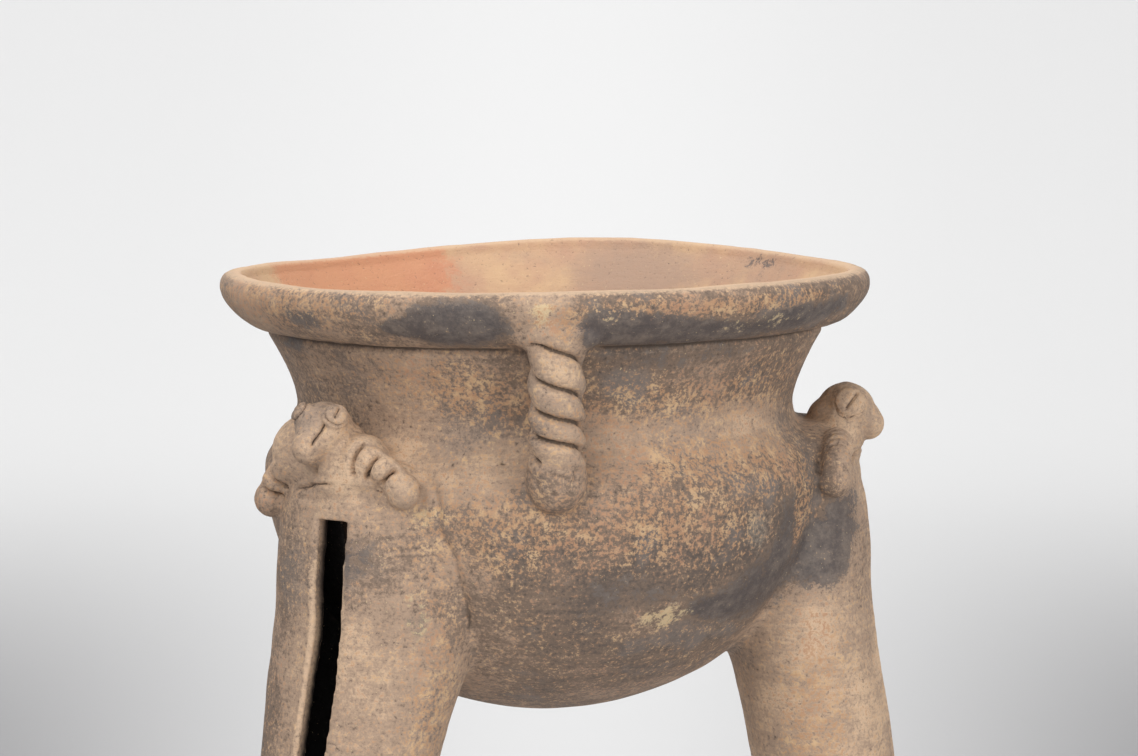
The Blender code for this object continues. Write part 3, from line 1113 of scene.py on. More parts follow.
class WorkedSkin:
    """The points of the vessel's skin, which strokes and dents move along their normals."""

    def __init__(self, thing: bpy.types.Object) -> None:
        """Reads the object's points and normals.

        Args:
            thing: The object.
        """
        self.thing = thing
        count = len(thing.data.vertices)
        self.points = np.empty(count * 3)
        self.normals = np.empty(count * 3)
        thing.data.vertices.foreach_get("co", self.points)
        thing.data.vertices.foreach_get("normal", self.normals)
        self.points = self.points.reshape(-1, 3)
        self.normals = self.normals.reshape(-1, 3)
        self.inward = np.zeros(count)

    def near(self, path: Array, margin: float) -> Array:
        """Indices of the points in a path's box, widened by a margin.

        Args:
            path: The path's points, one row each.
            margin: How much the box is widened.

        Returns:
            The indices.
        """
        low = path.min(axis=0) - margin
        high = path.max(axis=0) + margin
        return np.flatnonzero(np.all((self.points > low) & (self.points < high), axis=1))

    def press(self, stroke: Stroke, reach: float = 0.0045) -> None:
        """Presses a line in, or raises it where its depth is negative.

        Args:
            stroke: The line.
            reach: How far off the skin, along its normal, the line may lie.
        """
        path = np.asarray(stroke.path)
        chosen = self.near(path, reach + 3 * stroke.width)
        places = self.points[chosen]
        normals = self.normals[chosen]
        steps = np.linalg.norm(np.diff(path, axis=0), axis=1)
        starts = np.concatenate(([0.0], np.cumsum(steps)))
        best = np.full(len(chosen), np.inf)
        along = np.zeros(len(chosen))
        for start, end, step, run in zip(path, path[1:], steps, starts):
            line = (end - start) / step
            share = np.clip((places - start) @ line, 0.0, step)
            gap = places - (start + share[:, None] * line)
            off = np.einsum("ij,ij->i", gap, normals)
            flat = np.linalg.norm(gap - off[:, None] * normals, axis=1)
            flat[np.abs(off) > reach] = np.inf
            closer = flat < best
            best[closer] = flat[closer]
            along[closer] = run + share[closer]
        strength = np.exp(-((best / stroke.width) ** stroke.round_power))
        if stroke.taper:
            ends = np.minimum(along, starts[-1] - along) / stroke.taper
            strength *= np.clip(ends, 0.0, 1.0)
        self.inward[chosen] += stroke.depth * strength

    def unevenness(self, cell: Point, height: float, seed: int) -> None:
        """Lets the whole skin swell and sink a little, as hand-smoothed clay does."""
        self.inward += height * value_noise(self.points, cell, seed)

    def settle(self) -> None:
        """Moves the points and writes them back."""
        self.points -= self.normals * self.inward[:, None]
        self.inward[:] = 0.0
        self.thing.data.vertices.foreach_set("co", self.points.ravel())
        self.thing.data.update()


@dataclass
class ClaySkin:
    """The whole vessel as one skin of worked clay."""

    bowl: BowlForm
    leg: LegForm
    figure: LegFigure
    handles: tuple[TwistedHandle, ...]
    body_voxel: float = 0.0012
    body_smoothing: int = 10
    skin_voxel: float = 0.00068
    skin_smoothing: int = 3
    figure_room: Point = (0.0200, 0.0380, 0.0260)
    handle_room: Point = (0.0130, 0.0130, 0.0270)
    most_faces: int = 192000
    figure_room_place: Point = (0.0200, 0.0, -0.0050)
    handle_room_shift: float = 0.004
    swellings: tuple[tuple[Point, float, int], ...] = (
        ((0.020, 0.020, 0.016), 0.00030, 3),
        ((0.007, 0.007, 0.006), 0.00012, 5),
        ((0.030, 0.030, 0.0032), 0.00007, 7),
    )
    body_strokes: tuple[Stroke, ...] = (
        Stroke(
            (
                (-0.0510, -0.0806, 0.2634),
                (-0.0470, -0.0740, 0.2610),
                (-0.0411, -0.0722, 0.2592),
                (-0.0358, -0.0748, 0.2561),
                (-0.0313, -0.0800, 0.2517),
                (-0.0298, -0.0821, 0.2457),
                (-0.0299, -0.0814, 0.2394),
                (-0.0276, -0.0816, 0.2354),
                (-0.0259, -0.0817, 0.2322),
                (-0.0240, -0.0799, 0.2251),
                (-0.0223, -0.0776, 0.2176),
                (-0.0213, -0.0738, 0.2112),
                (-0.0226, -0.0714, 0.2039),
            ),
            0.0013,
            0.0008,
            0.010,
        ),
        Stroke(
            (
                (0.0816, -0.0240, 0.2542),
                (0.0788, -0.0379, 0.2472),
                (0.0769, -0.0396, 0.2383),
                (0.0756, -0.0385, 0.2290),
                (0.0738, -0.0360, 0.2209),
                (0.0700, -0.0344, 0.2128),
                (0.0650, -0.0334, 0.2049),
            ),
            0.0014,
            0.0006,
            0.010,
        ),
        Stroke(
            (
                (0.0163, -0.0787, 0.2590),
                (0.0236, -0.0760, 0.2601),
                (0.0338, -0.0713, 0.2611),
                (0.0457, -0.0639, 0.2618),
                (0.0579, -0.0537, 0.2614),
                (0.0692, -0.0395, 0.2599),
            ),
            0.0019,
            -0.0006,
            0.014,
        ),
        Stroke(
            ((-0.0253, -0.0782, 0.2566), (-0.0181, -0.0789, 0.2585), (-0.0109, -0.0796, 0.2589)),
            0.0018,
            -0.0004,
            0.008,
        ),
        Stroke(((-0.0136, -0.0790, 0.2594), (-0.0098, -0.0803, 0.2580)), 0.0007, 0.0007, 0.002),
    )

    def body(self) -> bpy.types.Object:
        """The bowl and the legs, fused, smoothed at their joins and cut hollow.

        Returns:
            The new object.
        """
        legs = [self.leg.solid(name.value) for name in LegName]
        made = join([self.bowl.solid(), *legs])
        fuse(made, self.body_voxel, self.body_smoothing)
        tools = [self.bowl.hollow()]
        for name in LegName:
            cavity = self.leg.cavity(name.value)
            cut(cavity, [self.bowl.solid()])
            tools += [cavity, self.leg.slit(name.value)]
        cut(made, tools)
        return made

    def detail_rooms(self) -> list[tuple[Matrix, Point]]:
        """The boxes, as a frame and half sizes, in which the skin gets finer faces.

        Returns:
            The boxes.
        """
        rooms = []
        for name in LegName:
            frame = self.figure.frame(name.value, self.leg)
            rooms.append((frame @ Matrix.Translation(self.figure_room_place), self.figure_room))
        for handle in self.handles:
            depth = (handle.top_depth + handle.foot_depth) / 2
            middle = self.bowl.rim_top - depth - self.handle_room_shift
            place = outward(handle.azimuth) * (handle.foot_reach + self.handle_room_shift)
            rooms.append((local_frame(handle.azimuth, Vector((place.x, place.y, middle))), self.handle_room))
        return rooms

    def refine(self, thing: bpy.types.Object) -> None:
        """Halves the faces where figures and handles are, for their fine lines.

        Args:
            thing: The skin.
        """
        count = len(thing.data.vertices)
        points = np.empty(count * 3)
        thing.data.vertices.foreach_get("co", points)
        points = points.reshape(-1, 3)
        inside = np.zeros(count, bool)
        for frame, half in self.detail_rooms():
            turn = np.array(frame.inverted())
            local = points @ turn[:3, :3].T + turn[:3, 3]
            inside |= np.all(np.abs(local) < np.asarray(half), axis=1)
        bm = bmesh.new()
        bm.from_mesh(thing.data)
        bm.verts.ensure_lookup_table()
        edges = [edge for edge in bm.edges if inside[edge.verts[0].index] and inside[edge.verts[1].index]]
        bmesh.ops.subdivide_edges(bm, edges=edges, cuts=1, use_grid_fill=True)
        bm.to_mesh(thing.data)
        bm.free()

    def work(self, thing: bpy.types.Object) -> None:
        """Presses, raises and dents the skin as hands and tools did.

        Args:
            thing: The skin.
        """
        skin = WorkedSkin(thing)
        for name in LegName:
            for stroke in self.figure.strokes(name.value, self.leg) + self.leg.slit_lips(name.value):
                skin.press(stroke)
        for handle in self.handles:
            for stroke in handle.strokes(self.bowl):
                skin.press(stroke)
        for stroke in (self.bowl.band_crease(), *self.body_strokes):
            skin.press(stroke)
        for cell, height, seed in self.swellings:
            skin.unevenness(cell, height, seed)
        skin.settle()

    def thin_out(self, thing: bpy.types.Object) -> None:
        """Leaves fewer faces where the skin is plain, and keeps the fine ones where it is worked.

        Args:
            thing: The skin.
        """
        thing.data.transform(Matrix.Scale(1000.0, 4))
        thing.data.calc_loop_triangles()
        step = thing.modifiers.new("Thin", "DECIMATE")
        step.ratio = self.most_faces / len(thing.data.loop_triangles)
        apply_modifiers(thing)
        thing.data.transform(Matrix.Scale(0.001, 4))

    def build(self) -> bpy.types.Object:
        """Adds the figures and handles to the body, fuses them into its skin and works it.

        Returns:
            The skin, with all its faces.
        """
        pieces = [self.body()]
        for name in LegName:
            pieces += self.figure.lumps(name.value, self.leg)
        for handle in self.handles:
            pieces += handle.lumps(self.bowl)
        made = join(pieces)
        made.name = "vessel_clay"
        fuse(made, self.skin_voxel, self.skin_smoothing)
        LOG.info("fused skin: %d points", len(made.data.vertices))
        self.refine(made)
        LOG.info("refined skin: %d points", len(made.data.vertices))
        self.work(made)
        return made


class Family(Enum):
    """What lies on the clay, and where painted shade and painted light go. Each value is the name of the mesh
    attribute that says where.
    """

    SOOT = "soot"
    OCHRE = "ochre"
    RED = "red"
    CREAM = "cream"
    LICHEN = "lichen"
    # Paler clay; a few of these patches are painted light.
    LIGHT = "light"
    # Darker clay; a few of these patches are painted shade.
    DARK = "dark"
    INSIDE = "inside"
    HOLLOW = "hollow"
    # Painted shade in creases and hollows.
    PAINTED_CREASE_SHADE = "painted_crease_shade"
    # Wear on edges and the lip's top, which also stands for a painted highlight.
    WEAR_AND_PAINTED_BRIGHT_EDGES = "wear"


class Side(Enum):
    """Which side of the bowl's wall a mark lies on."""

    OUTSIDE = "outside"
    INSIDE = "inside"


@dataclass(frozen=True)
class Mark:
    """One patch. Its middle is in millimetres from the vessel's axis, and it fades round an egg shape."""

    family: Family
    middle: Point
    across: float
    tall: float
    strength: float = 1.0
    side: Side = Side.OUTSIDE


# Patches of tone, slip, soot and deposits. A few pale and dark ones are painted light and painted shade,
# noted where they lie.
MARKS = (
    Mark(Family.LIGHT, (-50, -85, 195), 40, 62, 0.78),
    Mark(Family.LIGHT, (92, -10, 170), 38, 50, 1.0),
    Mark(Family.LIGHT, (-62, 70, 195), 42, 62, 1.0),
    Mark(Family.LIGHT, (-52, -82, 266), 20, 15, 0.95),
    Mark(Family.LIGHT, (-54, -98, 266), 13, 12, 0.9),
    Mark(Family.LIGHT, (102, -4, 256), 18, 26, 1.0),
    Mark(Family.LIGHT, (-58, 78, 262), 22, 20, 0.8),
    Mark(Family.LIGHT, (4, -97, 284), 11, 15, 1.0),
    Mark(Family.LIGHT, (4, -95, 264), 9, 9, 0.5),
    Mark(Family.LIGHT, (-4, 97, 284), 11, 15, 1.0),
    # Painted light: lifts the shade in the crease under the rim's band at the front left.
    Mark(Family.LIGHT, (-34, -73, 291), 22, 4, 0.5),
    Mark(Family.LIGHT, (99, -30, 252), 9, 12, 1.0),
    Mark(Family.LIGHT, (-68, -74, 304), 34, 8, 0.4),
    Mark(Family.LIGHT, (-95, -34, 303), 34, 9, 0.4),
    Mark(Family.LIGHT, (-80, -58, 262), 14, 14, 0.8),
    Mark(Family.LIGHT, (84, -29, 190), 14, 20, 1.0),
    Mark(Family.LIGHT, (-100, 20, 303), 40, 9, 0.7),
    Mark(Family.LIGHT, (-22, -78, 258), 30, 10, 0.75),
    Mark(Family.LIGHT, (50, -60, 264), 38, 9, 0.9),
    Mark(Family.LIGHT, (-40, -65, 280), 40, 9, 0.4),
    Mark(Family.LIGHT, (35, -69, 211), 16, 6, 0.5),
    Mark(Family.LIGHT, (0, -100, 305), 9, 6, 0.8),
    Mark(Family.LIGHT, (20, -84, 243), 34, 10, 0.15),
    Mark(Family.LIGHT, (-55, -55, 284), 26, 12, 0.3),
    Mark(Family.DARK, (40, -75, 224), 42, 17, 0.7),
    Mark(Family.DARK, (-6, -82, 220), 26, 20, 0.55),
    Mark(Family.DARK, (68, -44, 225), 22, 18, 0.75),
    Mark(Family.DARK, (20, -60, 196), 50, 12, 0.3),
    # Painted shadow: the rolled rim's shadow on the neck at the front right.
    Mark(Family.DARK, (44, -73, 291), 34, 5, 0.55),
    Mark(Family.DARK, (30, 70, 225), 60, 25, 0.6),
    Mark(Family.DARK, (-80, -66, 190), 8, 50, 0.8),
    Mark(Family.DARK, (-52, -84, 228), 16, 12, 0.7),
    Mark(Family.DARK, (-38, -84, 214), 12, 10, 0.4),
    Mark(Family.DARK, (4, -96, 256), 10, 5, 0.5),
    Mark(Family.DARK, (-56, -84, 170), 14, 16, 0.55),
    # Painted shade: the right leg's shaded outer side.
    Mark(Family.DARK, (100, -16, 200), 6, 30, 0.4),
    Mark(Family.DARK, (31, 80, 299), 26, 12, 0.95, Side.INSIDE),
    Mark(Family.DARK, (72, 55, 302), 18, 9, 0.6, Side.INSIDE),
    Mark(Family.DARK, (-10, 92, 303.5), 12, 2.2, 0.5, Side.INSIDE),
    Mark(Family.SOOT, (-69, -71, 299.5), 9, 3.2, 0.62),
    Mark(Family.SOOT, (-40, -91, 298.6), 8, 2.6, 0.85),
    Mark(Family.SOOT, (-29, -94, 300), 11, 6.5, 1.0),
    Mark(Family.SOOT, (-18, -98, 300), 9, 6.5, 0.9),
    Mark(Family.SOOT, (17, -98, 299), 7, 6.0, 0.95),
    Mark(Family.SOOT, (28, -95, 298.5), 12, 5.8, 0.95),
    Mark(Family.SOOT, (43, -90, 297), 12, 4.8, 0.9),
    Mark(Family.SOOT, (58, -81, 296.5), 12, 3.8, 0.75),
    Mark(Family.SOOT, (74, -68, 299), 13, 4.6, 0.8),
    Mark(Family.SOOT, (86, -50, 301), 12, 4.0, 0.6),
    Mark(Family.SOOT, (-74, -42, 289), 9, 4, 0.6),
    Mark(Family.SOOT, (42, -75, 289), 28, 5, 0.42),
    Mark(Family.SOOT, (66, -47, 217), 18, 12, 0.7),
    Mark(Family.SOOT, (74, -48, 234), 7, 14, 0.55),
    Mark(Family.SOOT, (20, -80, 220), 26, 9, 0.42),
    Mark(Family.SOOT, (51, -60, 213), 12, 4, 0.85),
    Mark(Family.SOOT, (86, -29, 224), 11, 11, 0.9),
    Mark(Family.SOOT, (92, -20, 236), 9, 10, 0.6),
    Mark(Family.SOOT, (-55, -82, 231), 9, 9, 0.5),
    Mark(Family.SOOT, (-36, -86, 213), 6, 9, 0.52),
    Mark(Family.SOOT, (60, 52, 226), 30, 16, 0.6),
    Mark(Family.SOOT, (-40, 85, 295), 34, 4.5, 0.75),
    Mark(Family.SOOT, (70, 57, 304), 10, 4, 0.45, Side.INSIDE),
    Mark(Family.OCHRE, (-80, -60, 304), 40, 7, 0.8),
    Mark(Family.OCHRE, (5, -98, 301), 7, 5, 0.8),
    Mark(Family.OCHRE, (-88, -56, 250), 10, 14, 0.5),
    Mark(Family.OCHRE, (101, -30, 258), 9, 16, 0.5),
    Mark(Family.OCHRE, (-30, -76, 282), 20, 7, 0.75),
    Mark(Family.OCHRE, (-18, -76, 276), 14, 4, 0.8),
    Mark(Family.OCHRE, (46, -65, 258), 34, 6, 0.9),
    Mark(Family.OCHRE, (67, -52, 253), 16, 7, 0.7),
    Mark(Family.OCHRE, (20, -78, 273), 36, 8, 0.5),
    Mark(Family.OCHRE, (60, -52, 277), 30, 9, 0.5),
    Mark(Family.OCHRE, (8, -86, 240), 30, 11, 0.62),
    Mark(Family.OCHRE, (28, -82, 243), 14, 7, 0.5),
    Mark(Family.OCHRE, (45, -74, 240), 20, 12, 0.62),
    Mark(Family.OCHRE, (-20, -84, 244), 20, 14, 0.5),
    Mark(Family.OCHRE, (77, -38, 240), 7, 16, 0.8),
    Mark(Family.OCHRE, (-32, -80, 186), 9, 34, 0.7),
    Mark(Family.OCHRE, (83, -27, 172), 9, 34, 0.8),
    Mark(Family.OCHRE, (40, -91, 304.5), 34, 2.6, 1.0),
    Mark(Family.OCHRE, (72, -72, 305.5), 20, 2.4, 0.8),
    Mark(Family.OCHRE, (0, 78, 262), 60, 10, 0.7),
    Mark(Family.OCHRE, (-30, 75, 240), 40, 12, 0.6),
    Mark(Family.CREAM, (0.5, -101, 304.8), 4, 3.2, 0.8),
    Mark(Family.CREAM, (-1.0, -100, 300.5), 2.6, 4.5, 0.45),
    Mark(Family.CREAM, (18.9, -97.5, 302.6), 1.6, 1.3, 0.62),
    Mark(Family.CREAM, (35, -69, 212), 10, 3.8, 0.62),
    Mark(Family.CREAM, (-36, -84, 214), 7, 14, 0.36),
    Mark(Family.CREAM, (64, -76, 299), 18, 2.8, 0.40),
    Mark(Family.CREAM, (99, -30, 254), 5, 8, 0.42),
    Mark(Family.CREAM, (-51, -98, 266), 8, 7, 0.40),
    Mark(Family.CREAM, (-33, -83, 243), 6, 7, 0.45),
    Mark(Family.CREAM, (-82, -16, 300), 18, 3.0, 0.6, Side.INSIDE),
    Mark(Family.LICHEN, (63, -59, 236), 6.5, 8.5, 0.55),
    Mark(Family.LICHEN, (-20, -80, 198), 20, 8, 0.32),
    Mark(Family.RED, (-64, 62, 300), 38, 22, 1.0, Side.INSIDE),
)


class ClayMap:
    """Works out what lies on each point of the finished skin and the painted shade and light it gets, and
    stores them in attributes.
    """

    # How far outside the bowl's inner curve a point still counts as inside, and the soft step beyond it.
    lining_margin: float = 0.0046
    lining_step: float = 0.0016
    # The share of a leg's wall that counts as its inside, and the levels between which legs are hollow.
    hollow_share: float = 0.6
    hollow_levels: tuple[float, float] = (0.04, 0.96)
    # Depth of the lip's top edge, which is lightened as wear and as a painted highlight.
    lip_depth: float = 0.0018
    # A mark has full strength to a quarter of its size and fades to nothing at one and three quarters.
    fade_start: float = 0.25
    fade_end: float = 1.75
    # Steps of smoothing and the depth that counts as 1, for fine lines and for broad hollows.
    fine_hollows: tuple[int, float] = (3, 0.00018)
    broad_hollows: tuple[int, float] = (14, 0.00070)

    def __init__(self, thing: bpy.types.Object, bowl: BowlForm) -> None:
        """Reads the points, normals and edges of the skin, which is still round the vessel's own axis.

        Args:
            thing: The skin.
            bowl: The bowl's sizes.
        """
        mesh = thing.data
        self.mesh = mesh
        self.bowl = bowl
        self.points = np.empty(len(mesh.vertices) * 3)
        self.normals = np.empty(len(mesh.vertices) * 3)
        self.edges = np.empty(len(mesh.edges) * 2, int)
        mesh.vertices.foreach_get("co", self.points)
        mesh.vertices.foreach_get("normal", self.normals)
        mesh.edges.foreach_get("vertices", self.edges)
        self.points = self.points.reshape(-1, 3)
        self.normals = self.normals.reshape(-1, 3)
        self.edges = self.edges.reshape(-1, 2)

    def bowl_inside(self) -> Array:
        """1 on the inner face of the bowl and 0 elsewhere.

        Returns:
            One share for each point.
        """
        curve = np.array(
            self.bowl.body_curve(
                self.bowl.radius - self.bowl.wall,
                self.bowl.depth - self.bowl.wall,
                self.bowl.neck_radius - self.bowl.wall,
                self.bowl.rim_radius - self.bowl.lip,
                self.bowl.rim_top,
            )
        )
        reach = np.hypot(self.points[:, 0], self.points[:, 1])
        limit = np.interp(self.level(), curve[:, 1], curve[:, 0], left=0.0)
        return np.clip((limit + self.lining_margin - reach) / self.lining_step, 0.0, 1.0)

    def leg_hollow(self, leg: LegForm) -> Array:
        """1 inside the hollow legs and 0 elsewhere.

        Args:
            leg: The leg's sizes.

        Returns:
            One share for each point.
        """
        shares = np.linspace(*self.hollow_levels, 47)
        skin = leg.wall * self.hollow_share
        rows = [leg.section(float(share)) for share in shares]
        found = np.zeros(len(self.points))
        for name in LegName:
            middles = [leg.centre(name.value, float(share), row[0]) for share, row in zip(shares, rows)]
            height = self.points[:, 2] / leg.height
            gap_x = self.points[:, 0] - np.interp(height, shares, [m.x for m in middles])
            gap_y = self.points[:, 1] - np.interp(height, shares, [m.y for m in middles])
            out = outward(name.value.facing)
            depth = np.interp(height, shares, [row[1] for row in rows]) - skin
            width = np.interp(height, shares, [row[2] for row in rows]) - skin
            deep = (gap_x * out.x + gap_y * out.y) / depth
            wide = (gap_y * out.x - gap_x * out.y) / width
            near = np.hypot(deep, wide)
            level = height < self.hollow_levels[1]
            found = np.maximum(found, np.clip((1.04 - near) / 0.08, 0.0, 1.0) * level)
        return found

    def averaged(self, values: Array, times: int) -> Array:
        """Values averaged with those of the neighbours, a number of times.

        Args:
            values: One row for each point.
            times: How often.

        Returns:
            The averaged rows.
        """
        count = len(self.points)
        one, two = self.edges[:, 0], self.edges[:, 1]
        number = np.bincount(one, minlength=count) + np.bincount(two, minlength=count)
        for _ in range(times):
            total = np.stack(
                [
                    np.bincount(one, values[two, k], count) + np.bincount(two, values[one, k], count)
                    for k in range(values.shape[1])
                ],
                axis=1,
            )
            values = 0.5 * values + 0.5 * total / np.maximum(number, 1)[:, None]
        return values

    def hollowness(self, times: int, scale: float) -> Array:
        """How far the skin lies below its smoothed form: above 0 in creases, below 0 on edges.

        Args:
            times: How far the form is smoothed.
            scale: The depth that counts as 1.

        Returns:
            One value for each point.
        """
        smooth = self.averaged(self.points, times)
        gap = np.einsum("ij,ij->i", smooth - self.points, self.normals)
        return gap / scale

    def level(self) -> Array:
        """Heights as they would be on a rim that doesn't rise and dip.

        Returns:
            One height for each point.
        """
        heights = self.points[:, 2]
        azimuth = np.arctan2(self.points[:, 0], -self.points[:, 1])
        rise = sum(h * np.cos(n * (azimuth - math.radians(crest))) for n, h, crest in self.bowl.rim_waves)
        share = np.clip((heights - self.bowl.neck) / (self.bowl.band_foot - self.bowl.neck), 0.0, 1.0)
        return heights - rise * share

    def lip(self) -> Array:
        """1 along the rim's top edge and 0 away from it."""
        return np.clip(1.0 - (self.bowl.rim_top - self.level()) / self.lip_depth, 0.0, 1.0)

    def patch(self, mark: Mark, inside: Array) -> Array:
        """A mark's strength at each point, fading round its middle.

        Args:
            mark: The mark.
            inside: The share of the bowl's inner face at each point.

        Returns:
            One strength for each point.
        """
        gap = self.points * 1000.0 - np.asarray(mark.middle)
        far = np.sqrt((gap[:, 0] ** 2 + gap[:, 1] ** 2) / mark.across**2 + gap[:, 2] ** 2 / mark.tall**2)
        fade = np.clip((self.fade_end - far) / (self.fade_end - self.fade_start), 0.0, 1.0)
        fade = fade * fade * (3 - 2 * fade)
        where = inside if mark.side is Side.INSIDE else np.clip(1.0 - 2.0 * inside, 0.0, 1.0)
        return mark.strength * fade * where

    def store(self, leg: LegForm) -> None:
        """Works out all families and writes them to the mesh.

        Args:
            leg: The leg's sizes.
        """
        inside = self.bowl_inside()
        values = {family: np.zeros(len(self.points)) for family in Family}
        values[Family.HOLLOW] = self.leg_hollow(leg)
        values[Family.INSIDE] = inside * (1.0 - values[Family.HOLLOW])
        for mark in MARKS:
            old = values[mark.family]
            values[mark.family] = old + (1.0 - old) * self.patch(mark, inside)
        # Painted shade in creases, and a painted highlight on edges, from how far the skin lies below or
        # above its smoothed form.
        fine = self.hollowness(*self.fine_hollows)
        broad = self.hollowness(*self.broad_hollows)
        values[Family.PAINTED_CREASE_SHADE] = np.clip(np.maximum(fine, broad), 0.0, 1.0)
        values[Family.WEAR_AND_PAINTED_BRIGHT_EDGES] = np.clip(np.maximum(np.maximum(-fine, -broad), self.lip()), 0.0, 1.0)
        for family, numbers in values.items():
            layer = self.mesh.attributes.new(family.value, "FLOAT", "POINT")
            layer.data.foreach_set("value", numbers.astype(np.float32))


def linear(code: str) -> tuple[float, float, float, float]:
    """Turns an sRGB colour such as "#a48770" into the linear colour that a shader takes."""
    parts = [int(code[k : k + 2], 16) / 255 for k in (1, 3, 5)]
    return (*[c / 12.92 if c <= 0.04045 else ((c + 0.055) / 1.055) ** 2.4 for c in parts], 1.0)


Socket = bpy.types.NodeSocket


def add_node(
    tree: bpy.types.NodeTree, kind: str, settings: dict | None = None, sockets: dict | None = None
) -> bpy.types.Node:
    """Adds a node with its settings and its inputs.

    Args:
        tree: The node tree.
        kind: The node's type name.
        settings: Properties of the node.
        sockets: Its inputs, by name or number, each a value or the output to link.

    Returns:
        The new node.
    """
    node = tree.nodes.new(kind)
    for name, value in (settings or {}).items():
        setattr(node, name, value)
    for name, value in (sockets or {}).items():
        if isinstance(value, Socket):
            tree.links.new(value, node.inputs[name])
        else:
            node.inputs[name].default_value = value
    return node


@dataclass(frozen=True)
class FiredClay:
    """Low-fired, hand-smoothed earthenware with worn slip, as long buried pottery has it."""

    # Coarse clay smoothed by hand and fired in the open: matt, so that light falls off softly over it, with
    # buff and brown clouds, ochre grains where its dark skin has worn off, fine dark pits and pale temper.
    # The black slip is a little smoother than the clay, so it alone shows a faint sheen.
    name: str = "earthenware_hand_smoothed_and_fired"
    clay_dark: str = "#62564e"
    clay_brown: str = "#7d6a5b"
    clay: str = "#a88f7a"
    clay_light: str = "#d0b294"
    ash: str = "#8a8079"
    ochre: str = "#b48b69"
    ochre_light: str = "#ccab84"
    rust: str = "#ab7f66"
    soot: str = "#4e4848"
    soot_light: str = "#70665f"
    red: str = "#c87f5c"
    cream: str = "#d2ba92"
    lichen: str = "#948b7e"
    # Colour of the dark pits, and of the painted shade in creases.
    pit_and_crease_shade: str = "#463b33"
    # Painted shade: the inner faces of the hollow legs are coloured nearly black.
    hollow: str = "#1f1b19"
    lining: str = "#cdab87"
    lining_rose: str = "#bd977d"
    lining_grey: str = "#ab8f7b"
    # Sizes in millimetres: clouds from the fire, mottling, grains of sand, burnishing streaks, temper.
    cloud_size: float = 26.0
    mottle_size: float = 5.5
    fleck_size: float = 1.3
    streak_size: float = 16.0
    temper_size: float = 0.8
    # How deep the grains and the streaks are, in millimetres.
    fleck_depth: float = 0.34
    streak_depth: float = 0.22
    roughness: float = 0.74
    slip_roughness: float = 0.52
    specular: float = 0.35

    def build(self) -> bpy.types.Material:
        """Makes the material: clay, what wear bares, slip and soot, then grains and painted shade and
        highlights.

        Returns:
            The material.
        """
        material = bpy.data.materials.new(self.name)
        material.use_nodes = True
        tree = material.node_tree
        shader = tree.nodes["Principled BSDF"]
        layers = ClayLayers(tree, add_node(tree, "ShaderNodeTexCoord").outputs["Object"])
        grounds = Grounds(
            clouds=layers.noise(self.cloud_size, detail=3.0, roughness=0.6),
            mottle=layers.noise(self.mottle_size, detail=6.0, roughness=0.74),
            flecks=layers.noise(self.fleck_size, detail=4.0, roughness=0.75),
            streaks=layers.noise(self.streak_size, detail=4.0, roughness=0.62, squash=(1.0, 1.0, 10.0)),
        )
        colour = self.clay_colour(layers, grounds)
        colour, slip = self.slips(layers, grounds, colour)
        colour = self.bared_clay(layers, grounds, colour, slip)
        colour = self.grain_wear_and_painted_light(layers, grounds, colour)
        tree.links.new(colour, shader.inputs["Base Color"])
        rough = layers.between(slip, self.roughness, self.slip_roughness)
        rough = layers.math("MULTIPLY_ADD", layers.math("SUBTRACT", grounds.flecks, 0.5), 0.5, rough)
        tree.links.new(rough, shader.inputs["Roughness"])
        shader.inputs["Metallic"].default_value = 0.0
        shader.inputs["IOR"].default_value = 1.5
        shader.inputs["Specular IOR Level"].default_value = self.specular
        tree.links.new(self.relief(layers, grounds), shader.inputs["Normal"])
        return material

    def clay_colour(self, layers: "ClayLayers", grounds: "Grounds") -> Socket:
        """The bare clay: clouds of firing colour and burnishing streaks, pale and dark patches, and the paler
        lining.

        A few pale and dark patches are painted light and painted shade, and the legs' insides get painted
        shade.

        Args:
            layers: The helpers that stack layers.
            grounds: The clay's patterns.

        Returns:
            The colour.
        """
        # Pale patches raise the tone and dark ones lower it; a few of them are painted light and painted
        # shade.
        tone = layers.math("MULTIPLY_ADD", layers.family(Family.LIGHT), 0.46, 0.40)
        tone = layers.math("MULTIPLY_ADD", layers.family(Family.DARK), -0.30, tone)
        patterns = (
            (grounds.clouds, 0.90),
            (grounds.mottle, 0.70),
            (grounds.flecks, 1.25),
            (grounds.streaks, 0.40),
        )
        for ground, share in patterns:
            tone = layers.math("MULTIPLY_ADD", layers.math("SUBTRACT", ground, 0.5), share, tone)
        colour = layers.blend(layers.ramp(tone, 0.05, 0.36), self.clay_dark, self.clay_brown)
        colour = layers.blend(layers.ramp(tone, 0.34, 0.68), colour, self.clay)
        colour = layers.blend(layers.ramp(tone, 0.66, 1.02), colour, self.clay_light)
        most = layers.between(layers.family(Family.LIGHT), 0.45, 0.12)
        ash = layers.math("MULTIPLY", layers.ramp(grounds.clouds, 0.46, 0.34), most)
        colour = layers.blend(ash, colour, self.ash)
        lining = layers.blend(layers.ramp(grounds.clouds, 0.34, 0.62), self.lining_rose, self.lining)
        grey = layers.math("ADD", layers.family(Family.DARK), layers.math("SUBTRACT", grounds.mottle, 0.5))
        lining = layers.blend(layers.ramp(grey, 0.15, 0.95), lining, self.lining_grey)
        colour = layers.blend(layers.family(Family.INSIDE), colour, lining)
        # Painted shade inside the hollow legs.
        return layers.blend(layers.family(Family.HOLLOW), colour, self.hollow)

